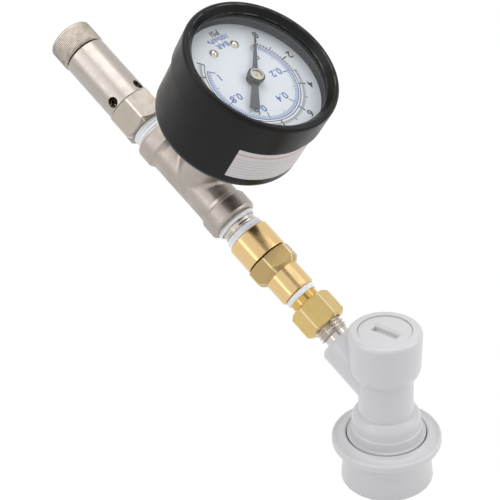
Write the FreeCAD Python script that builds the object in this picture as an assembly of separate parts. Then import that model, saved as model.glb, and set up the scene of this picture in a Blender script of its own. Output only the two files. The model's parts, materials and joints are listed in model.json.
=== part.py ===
import FreeCAD, Part
import math
import os

# A spunding valve: a ball-lock gas disconnect whose slanted arm carries a check valve, a tee with a
# dial gauge, and an adjustable relief valve.
#
# Lengths are millimetres. The part's frame has its origin where the post socket's bore begins, with +Z up
# the socket's axis, and the chain of fittings leans towards -X in the XZ plane.
# Three local frames are used, each with its own axis as local Z:
#   upright  the disconnect, in the part's own frame
#   chain    Z runs out along the slanted arm from the socket axis, X points up across it
#   gauge    Z is the dial's normal, X points up the dial, the origin is on the chain's axis

V = FreeCAD.Vector
X_AXIS = V(1, 0, 0)
Y_AXIS = V(0, 1, 0)
Z_AXIS = V(0, 0, 1)

# Fits
RUNNING_GAP = 0.06          # radial gap of a shaft or sleeve that turns or slides
LOOSE_GAP = 0.3             # gap where pieces pass and must not touch
FACE_GAP = 0.05             # end play between a turning face and its stop
BREAK = 0.4                 # broken edge on turned metal
ROUND = 0.293               # share across at the middle of a quarter round
WIRE_SIDES = 6              # flat sides that stand for a spring's round wire

# Where the slanted arm sits
ARM_HEIGHT = 34.6           # where the arm's axis crosses the socket's axis
ARM_SLOPE = 35.0            # degrees above the horizontal

# Post socket and disconnect body
LEAD_R = 9.75               # straight mouth of the socket, which starts at height 0
LEAD_DEPTH = 4.5
SOCKET_R = 9.45             # guide bore above the mouth
SOCKET_RISE = 3.6           # the guide bore ends this far above the balls' middle
SEAL_BORE_R = 8.9
SEAL_BORE_TOP = 20.5
MOUTH_CHAMFER = 0.5         # lead-in below the mouth
BODY_R = 12.3
BODY_SHOULDER_Z = 20.65
SHOULDER_R = 11.9
SHOULDER_WALL = 2.2         # straight wall under the rounded shoulder
SHOULDER_H = 6.25
COLUMN_R = 9.5
CAP_R = 12.6
CAP_TAPER = 0.5
CAP_TOP_Z = 59.0
CAP_SIDE_H = 13.0
CAP_UNDER_H = 5.2
CAP_UNDER_BEND = 0.65       # share across at the middle of the underside's curve
CAP_EDGE_R = 1.7
CHAMBER_R = 5.6
CHAMBER_RISE = 5.5          # floor of the chamber above the seal bore's top
POPPET_HOLE_R = 3.2
PLUG_THREAD_R = 7.6
PLUG_THREAD_DROP = 13.0     # below the cap's top
ARM_R = 8.3
ARM_END = 23.6
ARM_EDGE = 1.2
STEM_SOCKET_R = 4.5
STEM_SOCKET_START = 9.0
PORT_R = 2.4                # gas way through the stem, the adapter and the socket of the gauge
PORT_START = 3.0

# Slotted plug in the top of the disconnect
PLUG_HEAD_R = 9.3
PLUG_HEAD_DROP = 3.0        # underside of the head below the cap's top
PLUG_SUNK = 0.4             # top of the plug below the cap's top
PLUG_HOLLOW_R = 5.0
PLUG_HOLLOW_H = 4.0
SLOT_LENGTH = 10.0
SLOT_WIDTH = 3.0
SLOT_DEPTH = 2.2
SLOT_BEVEL = 0.8
ORING_BAND = 1.2            # height of the plug's O-ring groove
ORING_GROOVE_DEPTH = 0.6
ORING_SEAT_STEP = 0.8

# Disconnect poppet
POPPET_PIN_R = 1.6
POPPET_PIN_Z = 14.0
POPPET_HEAD_R = 4.6
POPPET_HEAD_T = 1.6
POPPET_GUIDE_R = 2.3
POPPET_GUIDE_L = 5.0
POPPET_SEAL_R = 0.78        # section radius of the seal ring
POPPET_SEAL_MID_R = 3.3
POPPET_TRAVEL = 3.0
SEAL_GAP = 0.02
POPPET_WIRE_R = 0.35
POPPET_COIL_R = 3.3
POPPET_TURNS = 6

# Locking balls
BALL_R = 2.0
BALL_RISE = 2.5             # balls' middle above the socket's mouth
BALL_COUNT = 3
BALL_BITE = 0.6             # how far a locked ball stands into the guide bore
BALL_GAP = 0.05

# Release collar
COLLAR_LIFT = 4.0
COLLAR_SKIRT_R = 16.1
COLLAR_WAIST_R = 15.5
COLLAR_WAIST_Z = 6.0
FLANGE_R = 19.04
FLANGE_TOP_Z = 16.5
FLANGE_T = 3.1
FLANGE_EDGE_R = 0.9
FLANGE_FILLET = 1.3         # hollow under the flange
FLANGE_DRAFT = 0.1
DISH_WIDTH = 1.4
COLLAR_RIM_H = 1.0          # raised rim inside the dished top
COLLAR_RIM_T = 0.9
CHAMBER_WALL_R = 14.0       # spring chamber in the collar
GUIDE_RISE = 2.2            # the guide starts this far above the balls' middle
GUIDE_H = 1.6
BALL_LAND_GAP = 0.08
STOP_RING_RISE = 0.1        # underside of the stop ring above the flange's top
STOP_RING_DEPTH = 0.7       # how far the ring's groove cuts into the body
STOP_RING_T = 1.0
STOP_RING_SLIT = 3.0
COLLAR_WIRE_R = 0.33
COLLAR_TURNS = 3

# Flare stem, nut and adapter, along the chain
STEM_NECK_R = 4.6
STEM_NECK_L = 1.4
FLARE_THREAD_R = 5.556      # 7/16 inch thread, half of 11.11
STEM_OUT = 11.8             # the nose starts this far beyond the arm
STEM_CONE_R = 5.2
STEM_CONE_TIP_R = 3.1
WASHER_T = 0.7              # the washer's thickness along the chain
NUT_STANDOFF = 6.1          # nut beyond the arm's end
NUT_LENGTH = 10.4
NUT_FLATS = 14.29           # 9/16 inch across flats
NUT_PHASE = -5.0            # degrees from local X to a corner of the hexagon
NUT_FACE_DROP = 0.25        # round face inside the flats
NUT_CHAMFER = 1.2
NUT_WALL = 1.55             # shoulder behind the adapter's head
ADAPTER_NECK_R = 4.75
ADAPTER_WAIST_R = 5.2
ADAPTER_THREAD_R = 5.14     # 1/8 inch pipe thread
ADAPTER_THREAD_L = 8.0
ADAPTER_TAPE_L = 2.1
ADAPTER_WAIST_L = 2.7

# Check valve
CHECK_NARROW_R = 6.65
CHECK_NARROW_L = 9.1
CHECK_FLATS = 16.3
CHECK_HEX_L = 7.6
CHECK_HEX_PHASE = 12.0
CHECK_FACE_DROP = 1.15
CHECK_CHAMFER_LOW = 2.3
CHECK_CHAMFER_HIGH = 0.9
CHECK_WIDE_R = 8.15
CHECK_WIDE_L = 10.4
CHECK_SPIGOT_L = 2.4
CHECK_BORE_R = 5.2
CHECK_SEAT_R = 2.6
CHECK_WEB_T = 2.4           # web that carries the seat
CHECK_WEB_GAP = 0.6         # space between the adapter's end and the web
CHECK_TRAVEL = 1.8
CHECK_DISC_R = 4.4
CHECK_DISC_T = 1.2
CHECK_NOSE_R = 2.2
CHECK_NOSE_L = 0.9
CHECK_RING_R = 0.6
CHECK_RING_MID_R = 3.4
CHECK_STEM_R = 1.2
CHECK_SPRING_L = 4.6
CHECK_WIRE_R = 0.3
CHECK_COIL_R = 2.5
CHECK_TURNS = 3
RETAINER_T = 1.2
RETAINER_HOLE_R = 1.1
RETAINER_HOLES = 4
RETAINER_RING_R = 3.3

# Nipple, tapes and tee
PIPE_R = 6.86               # 1/4 inch pipe thread
PIPE_PITCH = 1.411
FINE_PIPE_PITCH = 0.941
NIPPLE_BORE_R = 3.4
NIPPLE_SHOW = 7.0           # length seen between the check valve and the tee
NIPPLE_GRIP = 6.2           # screwed into each neighbour
VALVE_TAPE_L = 2.6
TEE_TAPE_L = 1.2
TAPE_THIN = 0.16
TAPE_THICK = 0.42
TEE_HALF = 21.5
TEE_R = 8.15
TEE_BAND_R = 9.2
TEE_BAND_L = 7.0
TEE_BAND_SWELL = 1.6
TEE_BAND_EDGE = 1.1
TEE_SADDLE = 2.2
TEE_BORE_R = 5.6
TEE_THREAD_L = 12.0

# Relief valve
RELIEF_GRIP = 9.0
RELIEF_TAPE_L = 4.2
RELIEF_FLATS = 17.46        # 11/16 inch across flats
RELIEF_HEX_L = 11.2
RELIEF_HEX_PHASE = 20.0
RELIEF_FACE_DROP = 0.43
RELIEF_CHAMFER_LOW = 1.6
RELIEF_CHAMFER_HIGH = 0.8
RELIEF_BARREL_STEP = 1.3    # barrel over its spigot
RELIEF_BARREL_L = 26.1
RELIEF_BORE_R = 6.1
RELIEF_SPIGOT_WALL = 0.8
RELIEF_SPIGOT_L = 4.9
RELIEF_INLET_R = 2.6
RELIEF_NOZZLE_R = 4.0
RELIEF_NOZZLE_DROP = 1.4    # the seat stands this far below the hexagon's top
VENT_R = 2.0
VENT_RISE = 2.6             # vent axis above the hexagon
VENT_COUNT = 4
VENT_PHASE = 20.0
SEAT_DISC_R = 3.9
SEAT_DISC_T = 1.5
RELIEF_CUP_R = 4.7
RELIEF_CUP_T = 1.8
RELIEF_CUP_SKIRT = 1.1      # skirt of the cup round the disc
RELIEF_STEM_R = 2.2
RELIEF_STEM_L = 7.0
RELIEF_SPRING_L = 16.0
RELIEF_WIRE_R = 0.5
RELIEF_COIL_R = 3.6
RELIEF_TURNS = 6
SPRING_SEAT_GAP = 0.5
SPRING_SEAT_T = 1.8
SPRING_SPIGOT_R = 2.7
SPRING_SPIGOT_L = 2.5
RELIEF_TRAVEL = 2.0
CAP_GAP = 0.4               # dark line between the barrel and the cap
KNURL_STEP = 0.3            # knurl's crest over the barrel
KNURL_DEPTH = 0.25
KNURL_COUNT = 44
KNURL_L = 7.9
CAP_DOME_L = 1.4
CAP_CROWN_STEP = 1.9        # flat top inside the knurl's crest
CAP_CROWN_BEND = 0.25

# Gauge, heights along the dial's normal from the chain's axis
CASE_R = 26.3
CASE_WALL = 0.9
CASE_DEPTH = 27.1
CASE_BACK_EDGE = 3.2
BEZEL_SKIRT_T = 1.05
BEZEL_SKIRT_L = 6.1         # skirt over the case behind its front edge
BEZEL_FRONT = 5.6           # rim before the case's front edge
BEZEL_RIM_IN = 1.35         # crest of the rim inside the skirt's face
LIP_REACH = 2.6             # lip inside the case's outer face
LIP_T = 0.9
LENS_T = 1.4
LENS_INSET = 1.0            # lens inside the case's outer face
GASKET_T = 1.0
GASKET_INSET = 2.3
DIAL_GAP = 1.0              # round the dial, inside the case
DIAL_DROP = 2.9             # dial's face behind the case's front edge
DIAL_T = 0.5
DIAL_HOLE_GAP = 0.4
DIAL_SCREW_SPREAD = 19.0    # degrees each side of the dial's foot
DIAL_SCREW_HEAD_R = 1.8
DIAL_SCREW_HEAD_T = 0.9
DIAL_SCREW_SHANK_R = 0.6
DIAL_WASHER_T = 0.2
DIAL_POST_R = 1.0
SCREW_SLOT = 0.4            # width and depth of the small screws' slots
GAUGE_FLATS = 13.0
GAUGE_FLATS_L = 6.5
GAUGE_NECK_R = 8.4
GAUGE_GRIP = 10.5           # screwed into the tee
GAUGE_TAPE_L = 1.5
SOCKET_FLANGE_GAP = 0.8     # flange inside the Bourdon tube's middle
SOCKET_FLANGE_T = 3.0
BLOCK_ANGLE = -110.0        # where the Bourdon tube is fixed, degrees round the dial
BLOCK_WIDTH = 7.0
BLOCK_IN = 2.0              # block inside the tube's middle
BLOCK_OUT = 2.4             # block outside the tube's middle
BLOCK_FOOT_T = 2.4
CASE_SCREW_R = 1.5
CASE_SCREW_PITCH_R = 11.8
CASE_SCREW_HEAD_R = 2.6
CASE_SCREW_HEAD_T = 1.6
CASE_SCREW_SLOT = 0.7
CASE_SCREW_ANGLES = (60.0, -60.0)

# Bourdon tube and movement
TUBE_INSET = 8.7            # tube's middle inside the case's outer face
TUBE_T = 1.9
TUBE_W = 7.0
TUBE_WALL = 0.35
TUBE_RISE = 3.1             # tube above the socket's flange
TUBE_END = 139.0            # where the tip begins, degrees round the dial
TIP_LENGTH = 3.2
TIP_WALL = 0.3
TIP_DROP = 2.6              # tip below the tube's middle
TIP_PIN_IN = 0.2            # link's pin inside the tube's middle
TIP_PIN_TURN = 4.7          # degrees past the tube's end
BACK_PLATE_RISE = 3.6       # back plate above the socket's flange
PLATE_T = 1.0
PLATE_SPACING = 8.5
PILLAR_R = 1.2
PILLARS = ((5.0, 4.6), (5.0, -4.6), (-10.2, -7.2))
PLATE_MARGIN = 2.0
PLATE_SCREW_R = 1.5
PLATE_SCREW_T = 0.8
FRONT_BOSS_R = 2.2
FRONT_BOSS_PROUD = 0.5      # boss before the dial
GEAR_MODULE = 0.25
PINION_TEETH = 12
SECTOR_TEETH_FULL = 96      # teeth that a whole wheel of the sector's radius would have
SECTOR_BACK = 39.5          # degrees of the toothed arc behind the rest mesh
SECTOR_FRONT = 6.0
BACKLASH = 0.05
SECTOR_RISE = 3.5           # sector above the back plate
SECTOR_T = 0.8
PINION_OVERHANG = 0.7       # pinion's teeth below the sector
PINION_L = 2.4
ARBOR_R = 0.5
POINTER_ARBOR_R = 0.45
SECTOR_ARBOR_R = 0.6
SECTOR_HUB_R = 1.6
TAIL_ANGLE = 42.0
TAIL_LENGTH = 6.5
TAIL_HALF = 0.8
LINK_HALF = 0.8
LINK_T = 0.6
LINK_GAP = 0.1              # link above the sector's tail
LINK_PIN_R = 0.4
HAIRSPRING_RISE = 2.7       # above the sector
HAIRSPRING_W = 0.5
HAIRSPRING_T = 0.12
HAIRSPRING_IN = 1.0
HAIRSPRING_TURNS = 3.25
COLLET_R = 0.9
SCALE_START = 135.0         # dial angle of the zero mark, degrees from the dial's top
SCALE_SWEEP = 270.0
POINTER_GAP = 1.3           # needle before the dial
POINTER_T = 0.5
POINTER_INSET = 3.9         # needle's tip inside the dial's rim
POINTER_TAIL = 13.5
POINTER_TIP_HALF = 0.2
POINTER_ROOT_HALF = 1.0
TAIL_TIP_HALF = 1.7
HUB_RING_R = 3.0
HUB_RING_T = 1.5
HUB_CAP_R = 1.9
HUB_CAP_T = 0.5
STOP_PIN_R = 0.5
STOP_PIN_PITCH_R = 14.6
STOP_PIN_H = 2.7

# Places in the disconnect that follow from the sizes above
BALL_Z = LEAD_DEPTH + BALL_RISE
BALL_TRAVEL = BALL_BITE + LEAD_R - SOCKET_R + BALL_GAP
SOCKET_DEPTH = BALL_Z + SOCKET_RISE
SHOULDER_TOP_Z = BODY_SHOULDER_Z + SHOULDER_H
CAP_NECK_R = CAP_R - CAP_TAPER
CAP_NECK_Z = CAP_TOP_Z - CAP_SIDE_H
CAP_UNDERSIDE_Z = CAP_NECK_Z - CAP_UNDER_H
CHAMBER_FLOOR_Z = SEAL_BORE_TOP + CHAMBER_RISE
CHAMBER_SEAT_LOW = CHAMBER_FLOOR_Z - CHAMBER_R + POPPET_HOLE_R
PLUG_THREAD_Z = CAP_TOP_Z - PLUG_THREAD_DROP
PLUG_HEAD_Z = CAP_TOP_Z - PLUG_HEAD_DROP
PLUG_TOP_Z = CAP_TOP_Z - PLUG_SUNK
PLUG_HOLLOW_TOP = PLUG_THREAD_Z + PLUG_HOLLOW_H
ORING_GROOVE_R = PLUG_THREAD_R - ORING_GROOVE_DEPTH
ORING_SEAT_R = PLUG_THREAD_R + ORING_SEAT_STEP
FLANGE_LOW_Z = FLANGE_TOP_Z - FLANGE_T
COLLAR_TOP_Z = FLANGE_TOP_Z + COLLAR_RIM_H
COLLAR_TOP_R = CHAMBER_WALL_R + COLLAR_RIM_T
GUIDE_LOW_Z = BALL_Z + GUIDE_RISE
GUIDE_TOP_Z = GUIDE_LOW_Z + GUIDE_H
STOP_RING_R = CHAMBER_WALL_R - LOOSE_GAP
STOP_RING_GROOVE_R = BODY_R - STOP_RING_DEPTH
STOP_RING_Z = FLANGE_TOP_Z + STOP_RING_RISE
COLLAR_COIL_R = (BODY_R + CHAMBER_WALL_R) / 2

# Places along the chain
STEM_CONE_START = ARM_END + STEM_OUT
NUT_START = ARM_END + NUT_STANDOFF
NUT_END = NUT_START + NUT_LENGTH
WAIST_END = NUT_END + ADAPTER_WAIST_L
CHECK_START = WAIST_END + ADAPTER_TAPE_L
CHECK_HEX_START = CHECK_START + CHECK_NARROW_L
CHECK_HEX_END = CHECK_HEX_START + CHECK_HEX_L
CHECK_END = CHECK_HEX_END + CHECK_WIDE_L
TEE_START = CHECK_END + NIPPLE_SHOW
TEE_MIDDLE = TEE_START + TEE_HALF
TEE_END = TEE_START + 2 * TEE_HALF
RELIEF_HEX_START = TEE_END + RELIEF_TAPE_L
RELIEF_HEX_END = RELIEF_HEX_START + RELIEF_HEX_L
BARREL_END = RELIEF_HEX_END + RELIEF_BARREL_L
CAP_START = BARREL_END + CAP_GAP
RELIEF_SPIGOT_R = RELIEF_BORE_R + RELIEF_SPIGOT_WALL
RELIEF_BARREL_R = RELIEF_SPIGOT_R + RELIEF_BARREL_STEP
SPRING_SEAT_R = RELIEF_BORE_R - SPRING_SEAT_GAP
KNURL_R = RELIEF_BARREL_R + KNURL_STEP
CAP_CROWN_R = KNURL_R - CAP_CROWN_STEP
NOZZLE_TOP = RELIEF_HEX_END - RELIEF_NOZZLE_DROP
DISC_START = NOZZLE_TOP + SEAL_GAP
CUP_START = DISC_START + SEAT_DISC_T - RELIEF_CUP_SKIRT
CUP_END = DISC_START + SEAT_DISC_T + RELIEF_CUP_T
SPRING_SEAT_START = CUP_END + RELIEF_SPRING_L
SPRING_SEAT_END = SPRING_SEAT_START + SPRING_SEAT_T
CHECK_WEB_START = CHECK_START + ADAPTER_THREAD_L + CHECK_WEB_GAP
CHECK_SEAT = CHECK_WEB_START + CHECK_WEB_T
CHECK_DISC_START = CHECK_SEAT + SEAL_GAP + 2 * CHECK_RING_R
CHECK_DISC_END = CHECK_DISC_START + CHECK_DISC_T
RETAINER_START = CHECK_DISC_END + CHECK_SPRING_L
# Places in the gauge
GAUGE_STEM_START = TEE_HALF - GAUGE_GRIP
SOCKET_NECK_START = TEE_HALF + GAUGE_TAPE_L
CASE_BACK = SOCKET_NECK_START + GAUGE_FLATS_L
CASE_TOP = CASE_BACK + CASE_DEPTH
BEZEL_R = CASE_R + BEZEL_SKIRT_T
BEZEL_LOW = CASE_TOP - BEZEL_SKIRT_L
BEZEL_TOP = CASE_TOP + BEZEL_FRONT
BEZEL_RIM_R = BEZEL_R - BEZEL_RIM_IN
LENS_LOW = CASE_TOP + GASKET_T
LENS_R = CASE_R - LENS_INSET
GASKET_R = CASE_R - GASKET_INSET
LIP_LOW = LENS_LOW + LENS_T
LIP_HIGH = LIP_LOW + LIP_T
LIP_R = CASE_R - LIP_REACH
DIAL_R = CASE_R - CASE_WALL - DIAL_GAP
DIAL_TOP = CASE_TOP - DIAL_DROP
DIAL_LOW = DIAL_TOP - DIAL_T
DIAL_HOLE_R = FRONT_BOSS_R + DIAL_HOLE_GAP
TUBE_R = CASE_R - TUBE_INSET
SOCKET_FLANGE_R = TUBE_R - SOCKET_FLANGE_GAP
SOCKET_FLANGE_LOW = CASE_BACK + CASE_WALL
SOCKET_FLANGE_TOP = SOCKET_FLANGE_LOW + SOCKET_FLANGE_T
DIAL_SCREW_R = SOCKET_FLANGE_R - DIAL_POST_R - LOOSE_GAP
TUBE_LOW = SOCKET_FLANGE_TOP + TUBE_RISE
TUBE_MIDDLE = TUBE_LOW + TUBE_W / 2
BACK_PLATE_Z = SOCKET_FLANGE_TOP + BACK_PLATE_RISE
FRONT_PLATE_Z = BACK_PLATE_Z + PLATE_SPACING
FRONT_BOSS_TOP = DIAL_TOP + FRONT_BOSS_PROUD
SECTOR_Z = BACK_PLATE_Z + SECTOR_RISE
PINION_Z = SECTOR_Z - PINION_OVERHANG
HAIRSPRING_Z = SECTOR_Z + HAIRSPRING_RISE
POINTER_Z = DIAL_TOP + POINTER_GAP
POINTER_TIP = DIAL_R - POINTER_INSET
STOP_PIN_TOP = DIAL_TOP + STOP_PIN_H

# The gear pair
PINION_PITCH_R = GEAR_MODULE * PINION_TEETH / 2
SECTOR_PITCH_R = GEAR_MODULE * SECTOR_TEETH_FULL / 2
SECTOR_PIVOT = V(-PINION_PITCH_R - SECTOR_PITCH_R, 0, 0)

# The Bourdon tube starts at the side of the socket's block
TUBE_START = BLOCK_ANGLE + math.degrees(math.asin(BLOCK_WIDTH / 2 / (TUBE_R - TUBE_T / 2)))


def polar(radius, degrees, z=0.0):
    """A point from a radius and an angle round local Z."""
    angle = math.radians(degrees)
    return V(radius * math.cos(angle), radius * math.sin(angle), z)


def cylinder(radius, start, end, at=V(0, 0, 0)):
    """A cylinder along local Z between two heights."""
    return Part.makeCylinder(radius, end - start, V(at.x, at.y, start), Z_AXIS)


def outline(*steps):
    """Closed outline in the radius and height plane: points, or a pair of points for an arc."""
    def place(point):
        return V(point[0], 0, point[1])
    edges = []
    here = first = place(steps[0])
    for step in steps[1:]:
        if isinstance(step[0], tuple):
            middle = place(step[0])
            end = place(step[1])
            edges.append(Part.Arc(here, middle, end).toShape())
        else:
            end = place(step)
            edges.append(Part.makeLine(here, end))
        here = end
    if here.distanceToPoint(first) > 1e-7:
        edges.append(Part.makeLine(here, first))
    return Part.Wire(edges)


def bend(start, end, across=ROUND):
    """Arc step from start to end, which has gone a share across when it has gone the rest along."""
    middle_r = start[0] + (end[0] - start[0]) * across
    middle_z = start[1] + (end[1] - start[1]) * (1 - across)
    return ((middle_r, middle_z), end)


def turned(*steps, sweep=360.0):
    """A solid of revolution about local Z."""
    face = Part.Face(outline(*steps))
    return face.revolve(V(0, 0, 0), Z_AXIS, sweep)


def dome(radius, low, rise):
    """Arc step from the rim of a domed head to its top on the axis."""
    ball_r = (radius ** 2 + rise ** 2) / (2 * rise)
    half = math.asin(radius / ball_r) / 2
    return ((ball_r * math.sin(half), low + rise - ball_r * (1 - math.cos(half))), (0, low + rise))


def torus(middle_r, section_r, z):
    """A ring of round section."""
    return Part.makeTorus(middle_r, section_r, V(0, 0, z), Z_AXIS)


def plate(points, start, thickness):
    """A flat plate from a closed list of points."""
    corners = [V(x, y, start) for x, y in points]
    face = Part.Face(Part.makePolygon(corners + corners[:1]))
    return face.extrude(V(0, 0, thickness))


def hexagon(flats, start, end, phase, face_drop, chamfer_start, chamfer_end):
    """A hexagonal bar whose ends are turned down to a round face inside the flats."""
    corner_r = flats / math.sqrt(3)
    face_r = flats / 2 - face_drop
    corners = [polar(corner_r, phase + 60 * i) for i in range(6)]
    bar = plate([(c.x, c.y) for c in corners], start, end - start)
    steps = [(0, start), (face_r, start), (corner_r, start + chamfer_start)]
    steps += [(corner_r, end - chamfer_end), (face_r, end), (0, end)]
    return bar.common(turned(*steps))


def coil(middle_r, wire_r, start, end, turns):
    """A helical spring between two seats, its round wire drawn with flat sides."""
    height = end - start - 2 * wire_r
    path = Part.makeHelix(height / turns, height, middle_r)
    corners = [polar(wire_r, 360 * side / WIRE_SIDES) for side in range(WIRE_SIDES)]
    corners = [V(middle_r + c.x, 0, c.y) for c in corners]
    section = Part.makePolygon(corners + corners[:1])
    spring = Part.Wire(path.Edges).makePipeShell([section], True, True)
    spring.translate(V(0, 0, start + wire_r))
    return spring


def tape_ring(core_r, start, end, pitch):
    """Sealing tape wound over a thread, ribbed by the threads under it."""
    ribs = max(1, round((end - start) / pitch))
    step = (end - start) / ribs
    steps = [(core_r, start), (core_r + TAPE_THIN, start)]
    for rib in range(ribs):
        low = start + rib * step
        steps += [(core_r + TAPE_THICK, low + step / 2), (core_r + TAPE_THIN, low + step)]
    steps.append((core_r, end))
    return turned(*steps)


def compound(shapes):
    """Several separate solids in one node."""
    return Part.makeCompound(shapes)


def on_chain(shape):
    """Place a shape from the chain's frame."""
    turn = FreeCAD.Rotation(Y_AXIS, ARM_SLOPE - 90)
    shape.Placement = FreeCAD.Placement(V(0, 0, ARM_HEIGHT), turn).multiply(shape.Placement)
    return shape


def on_gauge(shape):
    """Place a shape from the gauge's frame."""
    move = FreeCAD.Placement(V(0, 0, TEE_MIDDLE), FreeCAD.Rotation(Y_AXIS, 90))
    shape.Placement = move.multiply(shape.Placement)
    return on_chain(shape)


def save(name, shape):
    """Write one node and report its size."""
    solids = shape.Solids
    if not solids or not shape.isValid():
        raise ValueError(name + " is not a valid solid")
    shape.exportStep("parts/" + name + ".step")
    print(name, len(solids), round(sum(s.Volume for s in solids), 2))


# Disconnect

def ball_angle(index):
    """Angle of one locking ball round the socket."""
    return 30.0 + index * 360.0 / BALL_COUNT


def ball_centre_r():
    """Radius of a locked ball's centre."""
    return SOCKET_R - BALL_BITE + BALL_R


def disconnect_body():
    """Moulded body: socket, column, rounded cap and slanted arm."""
    shoulder_start = (SHOULDER_R, BODY_SHOULDER_Z + SHOULDER_WALL)
    cap_edge_start = (CAP_R, CAP_TOP_Z - CAP_EDGE_R)
    body = turned(
        (0, -MOUTH_CHAMFER), (BODY_R - MOUTH_CHAMFER, -MOUTH_CHAMFER), (BODY_R, 0), (BODY_R, BODY_SHOULDER_Z),
        (SHOULDER_R, BODY_SHOULDER_Z + BODY_R - SHOULDER_R), shoulder_start,
        bend(shoulder_start, (COLUMN_R, SHOULDER_TOP_Z)), (COLUMN_R, CAP_UNDERSIDE_Z),
        bend((COLUMN_R, CAP_UNDERSIDE_Z), (CAP_NECK_R, CAP_NECK_Z), CAP_UNDER_BEND), cap_edge_start,
        bend(cap_edge_start, (CAP_R - CAP_EDGE_R, CAP_TOP_Z)), (0, CAP_TOP_Z))
    arm = turned((0, 0), (ARM_R, 0), (ARM_R, ARM_END - ARM_EDGE), (ARM_R - ARM_EDGE, ARM_END), (0, ARM_END))
    body = body.fuse(on_chain(arm))
    hollow = turned(
        (0, -MOUTH_CHAMFER), (LEAD_R + MOUTH_CHAMFER, -MOUTH_CHAMFER), (LEAD_R, 0), (LEAD_R, LEAD_DEPTH),
        (SOCKET_R, LEAD_DEPTH + LEAD_R - SOCKET_R), (SOCKET_R, SOCKET_DEPTH),
        (SEAL_BORE_R, SOCKET_DEPTH + SOCKET_R - SEAL_BORE_R), (SEAL_BORE_R, SEAL_BORE_TOP),
        (POPPET_HOLE_R, SEAL_BORE_TOP), (POPPET_HOLE_R, CHAMBER_SEAT_LOW), (CHAMBER_R, CHAMBER_FLOOR_Z),
        (CHAMBER_R, PLUG_THREAD_Z), (PLUG_THREAD_R, PLUG_THREAD_Z), (PLUG_THREAD_R, PLUG_HEAD_Z - ORING_BAND),
        (ORING_SEAT_R, PLUG_HEAD_Z - ORING_BAND), (ORING_SEAT_R, PLUG_HEAD_Z), (PLUG_HEAD_R, PLUG_HEAD_Z),
        (PLUG_HEAD_R, CAP_TOP_Z), (0, CAP_TOP_Z))
    stem_way = cylinder(STEM_SOCKET_R, STEM_SOCKET_START, ARM_END)
    port = cylinder(PORT_R, PORT_START, STEM_SOCKET_START)
    body = body.cut(hollow).cut(on_chain(stem_way)).cut(on_chain(port))
    groove = cylinder(BODY_R + 1, STOP_RING_Z, STOP_RING_Z + STOP_RING_T)
    body = body.cut(groove.cut(cylinder(STOP_RING_GROOVE_R, STOP_RING_Z, STOP_RING_Z + STOP_RING_T)))
    pocket_r = BALL_R + BALL_GAP
    for index in range(BALL_COUNT):
        centre = polar(ball_centre_r(), ball_angle(index), BALL_Z)
        outward = polar(1, ball_angle(index))
        pocket = Part.makeSphere(pocket_r, centre)
        pocket = pocket.fuse(Part.makeCylinder(pocket_r, BALL_R + 2, centre, outward))
        body = body.cut(pocket)
    return body


def locking_ball(index):
    """One steel ball, locked inward."""
    return Part.makeSphere(BALL_R, polar(ball_centre_r(), ball_angle(index), BALL_Z))


def release_collar():
    """Sliding collar with a wide dished flange, a ball ramp inside and a spring chamber above it."""
    land_r = ball_centre_r() + BALL_R + BALL_LAND_GAP
    open_r = land_r + BALL_TRAVEL
    guide_r = BODY_R + RUNNING_GAP
    edge = FLANGE_EDGE_R
    low = -MOUTH_CHAMFER
    hollow_start = (COLLAR_WAIST_R, FLANGE_LOW_Z - FLANGE_FILLET)
    under_edge = (FLANGE_R - edge, FLANGE_LOW_Z + FLANGE_DRAFT)
    top_edge = (FLANGE_R, FLANGE_TOP_Z - edge)
    dish = ((COLLAR_TOP_R + DISH_WIDTH, FLANGE_TOP_Z - FLANGE_DRAFT), (COLLAR_TOP_R, COLLAR_TOP_Z))
    return turned(
        (open_r + BREAK, low), (COLLAR_SKIRT_R, low), (COLLAR_WAIST_R, COLLAR_WAIST_Z), hollow_start,
        bend(hollow_start, (COLLAR_WAIST_R + FLANGE_FILLET, FLANGE_LOW_Z)), under_edge,
        bend(under_edge, (FLANGE_R, FLANGE_LOW_Z + edge), 1 - ROUND), top_edge,
        bend(top_edge, (FLANGE_R - edge, FLANGE_TOP_Z)), dish,
        (CHAMBER_WALL_R + BREAK, COLLAR_TOP_Z), (CHAMBER_WALL_R, COLLAR_TOP_Z - BREAK),
        (CHAMBER_WALL_R, GUIDE_TOP_Z), (guide_r, GUIDE_TOP_Z), (guide_r, GUIDE_LOW_Z),
        (land_r, GUIDE_LOW_Z), (land_r, BALL_Z), (open_r, BALL_Z - COLLAR_LIFT), (open_r, low + BREAK))


def collar_stop_ring():
    """Split ring in the body's groove that holds the collar spring down."""
    ring = cylinder(STOP_RING_R, STOP_RING_Z, STOP_RING_Z + STOP_RING_T)
    ring = ring.cut(cylinder(STOP_RING_GROOVE_R, STOP_RING_Z, STOP_RING_Z + STOP_RING_T))
    slit = Part.makeBox(STOP_RING_R, STOP_RING_SLIT, STOP_RING_T, V(0, -STOP_RING_SLIT / 2, STOP_RING_Z))
    slit.rotate(V(0, 0, 0), Z_AXIS, 90)
    return ring.cut(slit)


def collar_spring():
    """Spring that returns the collar."""
    return coil(COLLAR_COIL_R, COLLAR_WIRE_R, GUIDE_TOP_Z, STOP_RING_Z, COLLAR_TURNS)


def poppet_seal_z():
    """Height of the seal ring when it rests on the 45 degree seat."""
    reach = (POPPET_SEAL_R + SEAL_GAP) * math.sqrt(2)
    return CHAMBER_SEAT_LOW + POPPET_SEAL_MID_R - POPPET_HOLE_R + reach


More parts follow.
